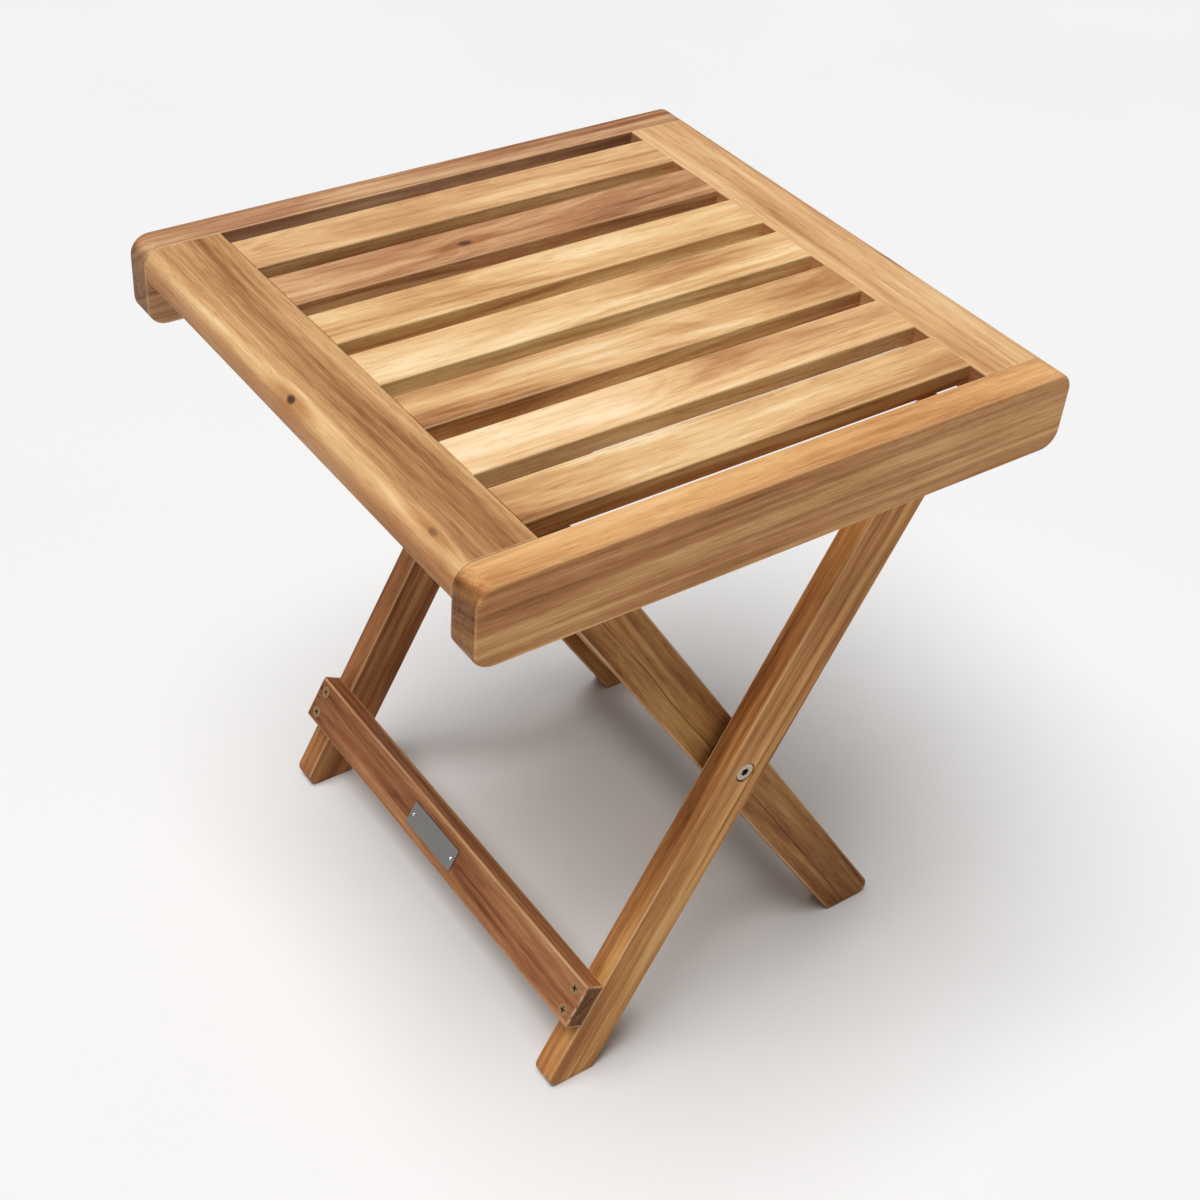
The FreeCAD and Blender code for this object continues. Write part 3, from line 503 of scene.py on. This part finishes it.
# %% [markdown]
# ## The seat's frame
# Two deep rails lie along x, and two end boards lie across them, so their grain turns through a right
# angle. The left board is the darkest of the four and has two small knots. The shapes are kept as they
# come, because their rounded ends and eased edges are already right.

# %% Rails and end boards
QUARTER = math.pi / 2


def half_size(node):
    low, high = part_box(node)
    return (high - low) / 2


def rail(node, **look):
    centre = middle(node)
    give(node, wood(node, centre, half=half_size(node), **look))


def board_across(node, **look):
    """A board whose grain runs along y."""
    half = half_size(node)
    own_half = (half.y, half.x, half.z)
    # The end boards' upright sides get a painted shade.
    give(node, wood(node, middle(node), turn=(0.0, 0.0, QUARTER), half=own_half, paint_side_shade=True, **look))


rail(
    "side_rail_front", seed=11, pith=(-0.02, -0.075), heart=0.48, contrast=0.8, wander=0.006,
    sapwood=0.0975, pale=0.06, tone=(0.98, 0.87, 0.77),
)
rail("side_rail_rear", seed=12, pith=(0.05, 0.06), heart=0.52, contrast=0.9, tone=(0.84, 0.81, 0.96))
board_across(
    "end_board_left", seed=13, pith=(-0.05, -0.02), heart=0.57, contrast=0.65, wander=0.03,
    sapwood=0.066, pale=0.24, tone=(0.95, 0.95, 0.95),
    knots=((-0.0024, 0.0200, 0.0022, 0.95), (-0.137, 0.0165, 0.0022, 0.5)),
)
board_across(
    "end_board_right", seed=14, pith=(-0.06, -0.05), heart=0.36, contrast=0.6, tone=(0.95, 0.91, 0.93),
    knots=((-0.0416, -0.0175, 0.0022, 0.8),),
)
print("the seat's frame has its wood")

# %% [markdown]
# ## Legs, stretchers and blocks
# The legs lean, so their grain is turned with them: a quarter turn stands the grain upright, and the
# lean tips it over. Their stock runs darker than the seat's, and a vein shows on the two front ones.
# The rear outer leg and both inner legs are toned darker still, partly for their own wood and partly
# as painted shade from the seat above them. The half sizes only say where the arrises are, and round
# pieces have none, so theirs are set far out.

# %% Leaning pieces
LEG_HALF = (0.6, 0.0085, 0.017)
STRETCHER_HALF = (0.1655, 0.007, 0.016)
INNER_STRETCHER_HALF = (0.2, 0.007, 0.016)
NO_ARRIS = (0.5, 0.5, 0.5)


def leaning_turn(lean):
    """Stands x upright, then tips it by the lean, so the grain runs up the leg."""
    return Matrix.Rotation(lean - QUARTER, 3, "Y").to_euler()


def leg(node, lean, **look):
    along = Vector((cross.x, middle(node).y, cross.z))
    give(node, wood(node, along, turn=(*leaning_turn(lean),), half=LEG_HALF, **look))


leg("outer_leg_front", outer_lean, seed=21, pith=(0.04, 0.06), heart=0.55, contrast=0.85, wear=0.55,
    vein=-0.0075, tone=(0.96, 0.80, 0.59))
# The darker tones below stand partly for painted shade from the seat over these legs.
leg("outer_leg_rear", outer_lean, seed=22, pith=(0.03, 0.07), heart=0.60, contrast=0.9, wear=0.55,
    tone=(0.80, 0.65, 0.58))
leg("inner_leg_front", inner_lean, seed=23, pith=(0.05, 0.05), heart=0.60, contrast=0.95, wear=0.55,
    vein=0.004, tone=(0.73, 0.62, 0.44))
leg("inner_leg_rear", inner_lean, seed=24, pith=(0.08, 0.02), heart=0.58, contrast=0.8, wear=0.55,
    tone=(0.76, 0.65, 0.50))


def crossbar(node, lean, half, **look):
    """A piece along y that leans with its legs."""
    turn = (Matrix.Rotation(lean, 3, "Y") @ Matrix.Rotation(QUARTER, 3, "Z")).to_euler()
    give(node, wood(node, middle(node), turn=(*turn,), half=half, **look))


crossbar("stretcher", outer_lean, STRETCHER_HALF, seed=31, pith=(0.05, 0.03), heart=0.66, contrast=0.9,
         wear=0.6, tone=(0.78, 0.65, 0.64))
crossbar("inner_stretcher", inner_lean, INNER_STRETCHER_HALF, seed=32, heart=0.6, tone=(0.9, 0.8, 0.7))
crossbar("top_bar", inner_lean, NO_ARRIS, seed=33, heart=0.5, tone=(0.95, 0.88, 0.8))
crossbar("frame_dowels", 0.0, NO_ARRIS, seed=34, heart=0.1)
for number, node in enumerate(("notch_block_front", "notch_block_rear")):
    rail(node, seed=41 + number, heart=0.6, tone=(0.95, 0.85, 0.75))
print("the legs and bars have their wood")

# %% [markdown]
# ## Seven slats from one tree
# The slats are one board seven times over, so a Geometry Nodes tree makes them: a rounded rectangle
# is swept along a line and instanced on seven points. What differs is the wood. Each point carries
# its slat's centre, its tone and its share of heartwood as attributes, the realized planks inherit
# them, and the wood reads them, so one finish gives seven different boards. The tenons are left out,
# because the end boards hide them. Seven separate objects would do as well, but a change of size or
# finish would have to be made seven times.

# %% What differs from slat to slat
SLAT_HEART = (0.60, 0.19, 0.41, 0.21, 0.20, 0.61, 0.26)
SLAT_TONE = (
    (1.0, 1.0, 1.0), (1.05, 1.05, 1.1), (0.98, 0.96, 0.96), (1.02, 1.02, 1.02),
    (1.02, 1.02, 1.02), (0.95, 0.92, 1.05), (0.98, 0.96, 1.0),
)
SLAT_KNOT = (-0.028, -0.0006, 0.0029, 0.85)
KNOTTY_SLAT = 5  # counted from 0, from the front
SLAT_SOFTNESS = 0.0011
slat_names = [f"slat_{number}" for number in range(1, 1 + len(SLAT_HEART))]
slat_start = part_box("end_board_left")[1].x
slat_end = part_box("end_board_right")[0].x
slat_length = slat_end - slat_start
slat_low, slat_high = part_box("slat_1")
slat_width = slat_high.y - slat_low.y
slat_thickness = slat_high.z - slat_low.z
print("a slat shows", [round(size, 3) for size in (slat_length, slat_width, slat_thickness)])

# %% [markdown]
# A slat is a straight bar with softened edges. A cube with a bevel would be one way. Sweeping a rounded
# outline along a line is another, and it keeps the length, the width, the thickness and the softness of
# the edges as four named inputs, which is why it was chosen.


# %% A tree that sweeps a rounded bar and sets it on points
def start_tree(name, sizes):
    """A geometry tree with one mesh input, named sizes and a material."""
    tree = bpy.data.node_groups.new(name, "GeometryNodeTree")
    tree.interface.new_socket("Geometry", in_out="INPUT", socket_type="NodeSocketGeometry")
    for size in sizes:
        tree.interface.new_socket(size, in_out="INPUT", socket_type="NodeSocketFloat")
    tree.interface.new_socket("Material", in_out="INPUT", socket_type="NodeSocketMaterial")
    tree.interface.new_socket("Geometry", in_out="OUTPUT", socket_type="NodeSocketGeometry")
    given = tree.nodes.new("NodeGroupInput")
    return tree, {socket.name: Value(tree, socket) for socket in given.outputs if socket.name}


def end_tree(tree, instances, material):
    """Realize Instances and Set Material, which the export needs."""
    real = instances.node("GeometryNodeRealizeInstances", Geometry=instances)
    dressed = real.node("GeometryNodeSetMaterial", Geometry=real, Material=material)
    end = tree.nodes.new("NodeGroupOutput")
    tree.links.new(dressed.socket, end.inputs["Geometry"])


def slat_tree():
    tree, given = start_tree("slat_row", ("Length", "Width", "Thickness", "Softness"))
    half = given["Length"] * 0.5
    start = half.node("ShaderNodeCombineXYZ", X=half * -1.0)
    finish = half.node("ShaderNodeCombineXYZ", X=half)
    line = half.node("GeometryNodeCurvePrimitiveLine", Start=start, End=finish)
    outline = half.node(
        "GeometryNodeCurvePrimitiveQuadrilateral", Width=given["Width"], Height=given["Thickness"]
    )
    soft = outline.node(
        "GeometryNodeFilletCurve", {"mode": "POLY"}, Curve=outline, Count=5, Radius=given["Softness"]
    )
    plank = line.node(
        "GeometryNodeCurveToMesh", Curve=line, Profile_Curve=soft, Fill_Caps=True
    )
    planks = plank.node("GeometryNodeInstanceOnPoints", Points=given["Geometry"], Instance=plank)
    end_tree(tree, planks, given["Material"])
    return tree


slat_row_tree = slat_tree()
print("the slat tree has", len(slat_row_tree.nodes), "nodes")

# %% [markdown]
# A tree works on points, and a moving stool needs plain meshes that ride on its bodies. `points_mesh`
# makes the points with their attributes, and `grow` runs the tree on them once and keeps what comes
# out. The modifier goes with the object that carried it.


# %% From points to a plain mesh
def points_mesh(name, places, attributes):
    """A mesh of loose points, with one list of vectors for each named attribute."""
    mesh = bpy.data.meshes.new(name)
    mesh.from_pydata(places, [], [])
    for key, vectors in attributes.items():
        layer = mesh.attributes.new(key, "FLOAT_VECTOR", "POINT")
        layer.data.foreach_set("vector", [part for vector in vectors for part in vector])
    return mesh


def grow(name, tree, mesh, sizes, material):
    """Runs a tree on a mesh and keeps the result as a plain mesh at the origin."""
    seedling = bpy.data.objects.new(name + "_points", mesh)
    scene.collection.objects.link(seedling)
    modifier = seedling.modifiers.new("grow", "NODES")
    modifier.node_group = tree
    sockets = {item.name: item.identifier for item in tree.interface.items_tree if item.in_out == "INPUT"}
    for size, number in sizes.items():
        modifier[sockets[size]] = number
    modifier[sockets["Material"]] = material
    grown = bpy.data.meshes.new_from_object(seedling.evaluated_get(bpy.context.evaluated_depsgraph_get()))
    bpy.data.objects.remove(seedling)
    grown.name = name
    piece = bpy.data.objects.new(name, grown)
    scene.collection.objects.link(piece)
    return piece


print("trees can be grown into meshes")

# %% [markdown]
# The slats' wood is the same recipe as every board's. Its centre and its place in the log come from the
# points instead of from Python. Only the sixth slat from the front has a knot: on the others the third
# number of `kind` moves the knot's place a metre away. Where a slat meets an end board, the seam is
# drawn a little darker, and the slats' upright sides, which show in the gaps, get a painted shade.


# %% The slats' wood and the slats
TENON_SIDE = 0.01  # keeps the pale edge, partly wear and partly painted highlight, off the ends, which sit against the end boards
SEAM_WIDTH, SEAM_CORE = 0.0008, 0.0002
LOG_STEP, LOG_START = 3.7, 1.0  # how far apart the slats lie in the log, in metres


def attribute(start, name):
    return start.node("ShaderNodeAttribute", {"attribute_name": name}, output=1)


def slat_wood():
    material, position = new_finish("slat_acacia")
    centre = attribute(position, "centre")
    kind = attribute(position, "kind")
    tone = attribute(position, "tone")
    local = position.node("ShaderNodeVectorMath", {"operation": "SUBTRACT"}, i0=position, i1=centre)
    heart, log_step, clear = (part(kind, axis) for axis in range(3))
    place = kind.node("ShaderNodeCombineXYZ", X=log_step, Y=log_step * 0.7, Z=log_step * -1.3)
    log = local.node("ShaderNodeVectorMath", {"operation": "ADD"}, i0=local, i1=place)
    half = (slat_length / 2 + TENON_SIDE, slat_width / 2, slat_thickness / 2)
    knot_place = shifted(local, clear.node("ShaderNodeCombineXYZ", X=clear, Y=0.0, Z=0.0))
    reach = part(local, 0).math("ABSOLUTE")
    seam = reach.smooth(slat_length / 2 - SEAM_WIDTH, slat_length / 2 - SEAM_CORE)
    # The upright sides, seen in the gaps, get a painted shade, and the seams at the ends a darker line.
    ends_and_side_shade = upright(position).math("MAXIMUM", seam)
    return wood_surface(
        material, local, log, half, pith=(0.012, -0.045), wander=0.034, heart=heart, contrast=1.1,
        knots=(SLAT_KNOT,), sapwood=None, tone=tone, ends_and_side_shade=ends_and_side_shade, wear=0.4, knot_place=knot_place,
        end_and_side_shade=SLAT_SIDE_PAINTED_SHADE,
    )


slat_centres = []
for name in slat_names:
    centre = middle(name)
    centre.x = (slat_end + slat_start) / 2
    slat_centres.append(centre)
slat_kind = [
    (heart, LOG_STEP * number + LOG_START, 0.0 if number == KNOTTY_SLAT else 1.0)
    for number, heart in enumerate(SLAT_HEART)
]
slat_points = points_mesh(
    "slat_centres", slat_centres, {"centre": slat_centres, "kind": slat_kind, "tone": SLAT_TONE}
)
slat_sizes = {
    "Length": slat_length, "Width": slat_width, "Thickness": slat_thickness, "Softness": SLAT_SOFTNESS,
}
slats = grow("slat_planks", slat_row_tree, slat_points, slat_sizes, slat_wood())
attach(slats, "seat")
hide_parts(*slat_names)
print("slats:", len(slats.data.polygons), "faces", [round(size, 4) for size in slats.dimensions])

# %% [markdown]
# ## Metal
# The pivots and the seat's bolts are nickel plated, the screws are yellow zinc, and the small plate is
# brushed aluminium with nothing printed on it, held by two brighter pins. A flat colour would do for
# pieces as small as these, but plating is never even, so soft noise varies the tone and the gloss, and
# the plate gets fine streaks.


# %% Metal finishes
DULL, BRIGHT = 0.86, 1.08


def tint(colour, factor):
    """A colour made lighter or darker, as an RGBA value."""
    return tuple(min(1.0, part * factor) for part in colour) + (1.0,)


def metal(name, colour, roughness, streak=0.0):
    material, position = new_finish(name)
    grain = noise(stretched(position, 900.0, 40.0, 900.0), 1.0, detail=2.0)
    cloud = noise(position, 160.0, detail=3.0)
    tone = mix(cloud, tint(colour, DULL), tint(colour, BRIGHT))
    rough = roughness + (cloud - 0.5) * 0.12 + (grain - 0.5) * streak
    return close_finish(material, {"Metallic": 1.0}, Base_Color=tone, Roughness=rough)


nickel = metal("nickel", (0.42, 0.36, 0.28), 0.20)
zinc = metal("yellow_zinc", (0.40, 0.25, 0.12), 0.30)
pin_metal = metal("pin_aluminium", (0.75, 0.74, 0.71), 0.25)
aluminium = metal("brushed_aluminium", (0.30, 0.295, 0.28), 0.42, streak=0.2)
for node in nodes:
    if node.startswith(("pivot_", "seat_bolt", "seat_washer", "rail_insert")):
        give(node, nickel)
    elif node == "label_plate":
        give(node, aluminium)
    elif node == "label_pins":
        give(node, pin_metal)
print("metal finishes set")

# %% [markdown]
# ## Ten screws from one tree
# The same wood screw holds the stretcher, the top bar and the notch blocks. It is modelled once, with
# its head's top at the origin and its point straight down: a countersunk head with a cross cut into
# it, a plain neck, a thinner core with a thread wound round it, and a point. Its parts overlap a little,
# so each stays a closed solid. Each set of screws is a few points, and each point says how its screw is
# turned. Copies made by hand would look as good, but here one size changes all ten.

# %% The screw tree
SCREW_SIZES = {
    "Head": 0.00399, "Head Height": 0.0026, "Shank": 0.0020, "Length": 0.032,
    "Cross Length": 0.0042, "Cross Width": 0.0010, "Cross Depth": 0.0016,
}
# Shares of the screw's length.
NECK, CORE, POINT, THREAD = 0.32, 0.62, 0.09, 0.56
CORE_FOOT, THREAD_FOOT = 0.92, 0.93
# Shares of the shank's radius.
CORE_RADIUS, POINT_RADIUS, RIDGE = 0.74, 0.72, 0.22
THREAD_LOW, THREAD_HIGH = 0.72, 0.76
THREAD_TURNS = 13.0
SMALL_SIDES = 24


def lifted(solid, height):
    """The same solid, moved along z."""
    shift = height.node("ShaderNodeCombineXYZ", X=0.0, Y=0.0, Z=height)
    return solid.node("GeometryNodeTransform", Geometry=solid, Translation=shift)


def cone(start, radius_top, radius_bottom, depth, sides=40):
    sizes = {"Vertices": sides, "Radius_Top": radius_top, "Radius_Bottom": radius_bottom, "Depth": depth}
    return start.node("GeometryNodeMeshCone", **sizes)


def screw_head(given):
    """A countersunk head with a cross recess."""
    head, height = given["Head"], given["Head Height"]
    solid = lifted(cone(head, head, given["Shank"], height), height * -1.0)
    reach, width, depth = given["Cross Length"], given["Cross Width"], given["Cross Depth"] * 2.0
    slot = reach.node("ShaderNodeCombineXYZ", X=reach, Y=width, Z=depth)
    wing = reach.node("GeometryNodeMeshCube", Size=slot)
    other_slot = reach.node("ShaderNodeCombineXYZ", X=width, Y=reach, Z=depth)
    other_wing = reach.node("GeometryNodeMeshCube", Size=other_slot)
    settings = {"operation": "DIFFERENCE", "solver": "EXACT"}
    cut = solid.node("GeometryNodeMeshBoolean", settings, Mesh_1=solid)
    for tool in (wing, other_wing):
        cut.tree.links.new(tool.socket, cut.socket.node.inputs["Mesh 2"])
    return cut


def screw_thread(given):
    """A three-sided ridge wound round the core, from the point to a little over half way up."""
    shank, length = given["Shank"], given["Length"]
    helix = shank.node(
        "GeometryNodeCurveSpiral", Resolution=18, Rotations=THREAD_TURNS,
        Start_Radius=shank * THREAD_LOW, End_Radius=shank * THREAD_HIGH, Height=length * THREAD,
    )
    ridge = shank.node("GeometryNodeCurvePrimitiveCircle", Resolution=3, Radius=shank * RIDGE)
    wound = helix.node("GeometryNodeCurveToMesh", Curve=helix, Profile_Curve=ridge, Fill_Caps=True)
    return lifted(wound, length * -THREAD_FOOT)


def screw_tree():
    tree, given = start_tree("screw_set", SCREW_SIZES)
    shank, length, head_height = given["Shank"], given["Length"], given["Head Height"]
    neck = cone(shank, shank, shank, length * NECK, SMALL_SIDES)
    core = cone(shank, shank * CORE_RADIUS, shank * CORE_RADIUS, length * CORE, SMALL_SIDES)
    point = cone(shank, shank * POINT_RADIUS, 0.0, length * POINT, SMALL_SIDES)
    solids = (
        screw_head(given),
        lifted(neck, head_height * -0.6 - length * NECK),
        lifted(core, length * -CORE_FOOT),
        lifted(point, length * -1.0),
        screw_thread(given),
    )
    parts = shank.node("GeometryNodeJoinGeometry")
    for solid in solids:
        tree.links.new(solid.socket, parts.socket.node.inputs["Geometry"])
    turn = shank.node("GeometryNodeInputNamedAttribute", {"data_type": "FLOAT_VECTOR"}, Name="turn")
    spin = turn.node("FunctionNodeEulerToRotation", Euler=turn)
    screws = parts.node(
        "GeometryNodeInstanceOnPoints", Points=given["Geometry"], Instance=parts, Rotation=spin
    )
    end_tree(tree, screws, given["Material"])
    return tree


screw_set_tree = screw_tree()
print("the screw tree has", len(screw_set_tree.nodes), "nodes")

# %% [markdown]
# The boxes of the three sets say where the screws are. The stretcher's screws lean with the outer legs,
# so the box's corners are worked back along the lean to the heads. The top bar's lie along y, and the
# blocks' point straight up. Nobody lines up the crosses of real screws, so each is turned at random.


# %% Where the screws go
ASKEW = 0.7  # radians, either way


def facing(way):
    """The turn that points a screw from its head along a direction, with its cross a little askew."""
    turn = Vector((0.0, 0.0, -1.0)).rotation_difference(Vector(way)).to_matrix()
    askew = Matrix.Rotation(screw_draw.uniform(-ASKEW, ASKEW), 3, "Z")
    return tuple((turn @ askew).to_euler())


def screw_set(name, body, replaced, places, way_of):
    """Grows one set of screws. way_of gives a direction for each place."""
    turns = [facing(way_of(place)) for place in places]
    mesh = points_mesh(name, places, {"turn": turns})
    piece = grow(name + "_set", screw_set_tree, mesh, SCREW_SIZES, zinc)
    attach(piece, body)
    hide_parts(replaced)
    print(name, len(places), "screws,", len(piece.data.polygons), "faces")


screw_draw = random.Random(5)
head, long = SCREW_SIZES["Head"], SCREW_SIZES["Length"]

low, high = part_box("stretcher_screws")
into_leg = Vector((math.cos(outer_lean), 0.0, -math.sin(outer_lean)))
lower = (low.x - head * into_leg.z, low.z - long * into_leg.z)
upper = (high.x - long * into_leg.x, high.z - head * into_leg.x)
places = [(x, y, z) for x, z in (lower, upper) for y in (low.y + head, high.y - head)]
screw_set("stretcher_screw", "outer_frame", "stretcher_screws", places, lambda place: into_leg)

low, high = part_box("top_bar_screws")
places = [((low.x + high.x) / 2, y, (low.z + high.z) / 2) for y in (low.y, high.y)]
screw_set("top_bar_screw", "inner_frame", "top_bar_screws", places, lambda place: (0, -place[1], 0))

low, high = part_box("block_screws")
places = [(x, y, low.z) for x in (low.x + head, high.x - head) for y in (low.y + head, high.y - head)]
screw_set("block_screw", "seat", "block_screws", places, lambda place: (0, 0, 1))

# %% [markdown]
# ## Light, floor and camera
# The stool stands on a plain pale floor. The main light comes from above and a little to the left. It
# is a sun with a wide disc, because an area lamp large enough to light the floor evenly would have to
# be huge. A weak area lamp in front lifts the shadows. The room itself is pale to look at and gives
# only a little light, so that the lamps give the stool its form.

# %% Floor, lights and camera
CAMERA_PLACE = Vector((-0.57091, -0.75298, 1.00438))
CAMERA_TURN = Euler((math.radians(50.862), math.radians(-4.129), math.radians(-35.004)))
CAMERA_ANGLE = 2 * math.atan(600 / 1922.4)
FLOOR_REACH = 40.0
FLOOR_SHADES = ((0.80, 0.80, 0.80, 1.0), (0.83, 0.83, 0.83, 1.0))
KEY_PLACE, KEY_TARGET = (-1.3, -0.05, 4.6), (0, 0, 0.2)
KEY_SPREAD, KEY_STRENGTH = math.radians(40), 3.35
FILL_PLACE, FILL_TARGET = (0.8, -3.6, 1.2), (0, 0, 0.3)
FILL_SIZE, FILL_POWER = 2.0, 2.0
ROOM_SEEN, ROOM_LIGHT = 0.93, 0.11


def make_camera():
    data = bpy.data.cameras.new("camera")
    data.sensor_width = 36.0
    data.angle = CAMERA_ANGLE
    camera = bpy.data.objects.new("camera", data)
    camera.location = CAMERA_PLACE
    camera.rotation_euler = CAMERA_TURN
    scene.collection.objects.link(camera)
    scene.camera = camera


def make_floor():
    mesh = bpy.data.meshes.new("floor")
    far = FLOOR_REACH
    corners = [(-far, -far, 0), (far, -far, 0), (far, far, 0), (-far, far, 0)]
    mesh.from_pydata(corners, [], [(0, 1, 2, 3)])
    floor = bpy.data.objects.new("floor", mesh)
    scene.collection.objects.link(floor)
    material, position = new_finish("pale_floor")
    colour = mix(noise(position, 3.0), *FLOOR_SHADES)
    close_finish(material, {"Roughness": 0.7}, Base_Color=colour)
    mesh.materials.append(material)


def aim(name, data, place, target):
    """Sets a lamp at a place and points it at a target."""
    lamp = bpy.data.objects.new(name, data)
    lamp.location = place
    lamp.rotation_euler = (Vector(target) - Vector(place)).to_track_quat("-Z", "Y").to_euler()
    scene.collection.objects.link(lamp)


def make_sky_panel(name, place, target, spread, strength):
    """A wide soft source so far away that it lights the whole floor alike."""
    data = bpy.data.lights.new(name, "SUN")
    data.angle = spread
    data.energy = strength
    aim(name, data, place, target)


def make_light(name, place, target, size, power):
    data = bpy.data.lights.new(name, "AREA")
    data.shape = "SQUARE"
    data.size = size
    data.energy = power
    aim(name, data, place, target)


def make_room():
    """A white room that looks brighter than the light it gives."""
    world = bpy.data.worlds.new("studio")
    world.use_nodes = True
    tree = world.node_tree
    tree.nodes.clear()
    seen = Value(tree, tree.nodes.new("ShaderNodeLightPath").outputs["Is Camera Ray"])
    strength = ROOM_LIGHT + seen * (ROOM_SEEN - ROOM_LIGHT)
    shade = strength.node("ShaderNodeBackground", Color=(1.0, 1.0, 1.0, 1.0), Strength=strength)
    end = tree.nodes.new("ShaderNodeOutputWorld")
    tree.links.new(shade.socket, end.inputs["Surface"])
    scene.world = world


make_camera()
make_floor()
make_sky_panel("key", KEY_PLACE, KEY_TARGET, KEY_SPREAD, KEY_STRENGTH)
make_light("fill", FILL_PLACE, FILL_TARGET, FILL_SIZE, FILL_POWER)
make_room()
scene.view_settings.view_transform = "Standard"
print("lit and framed")
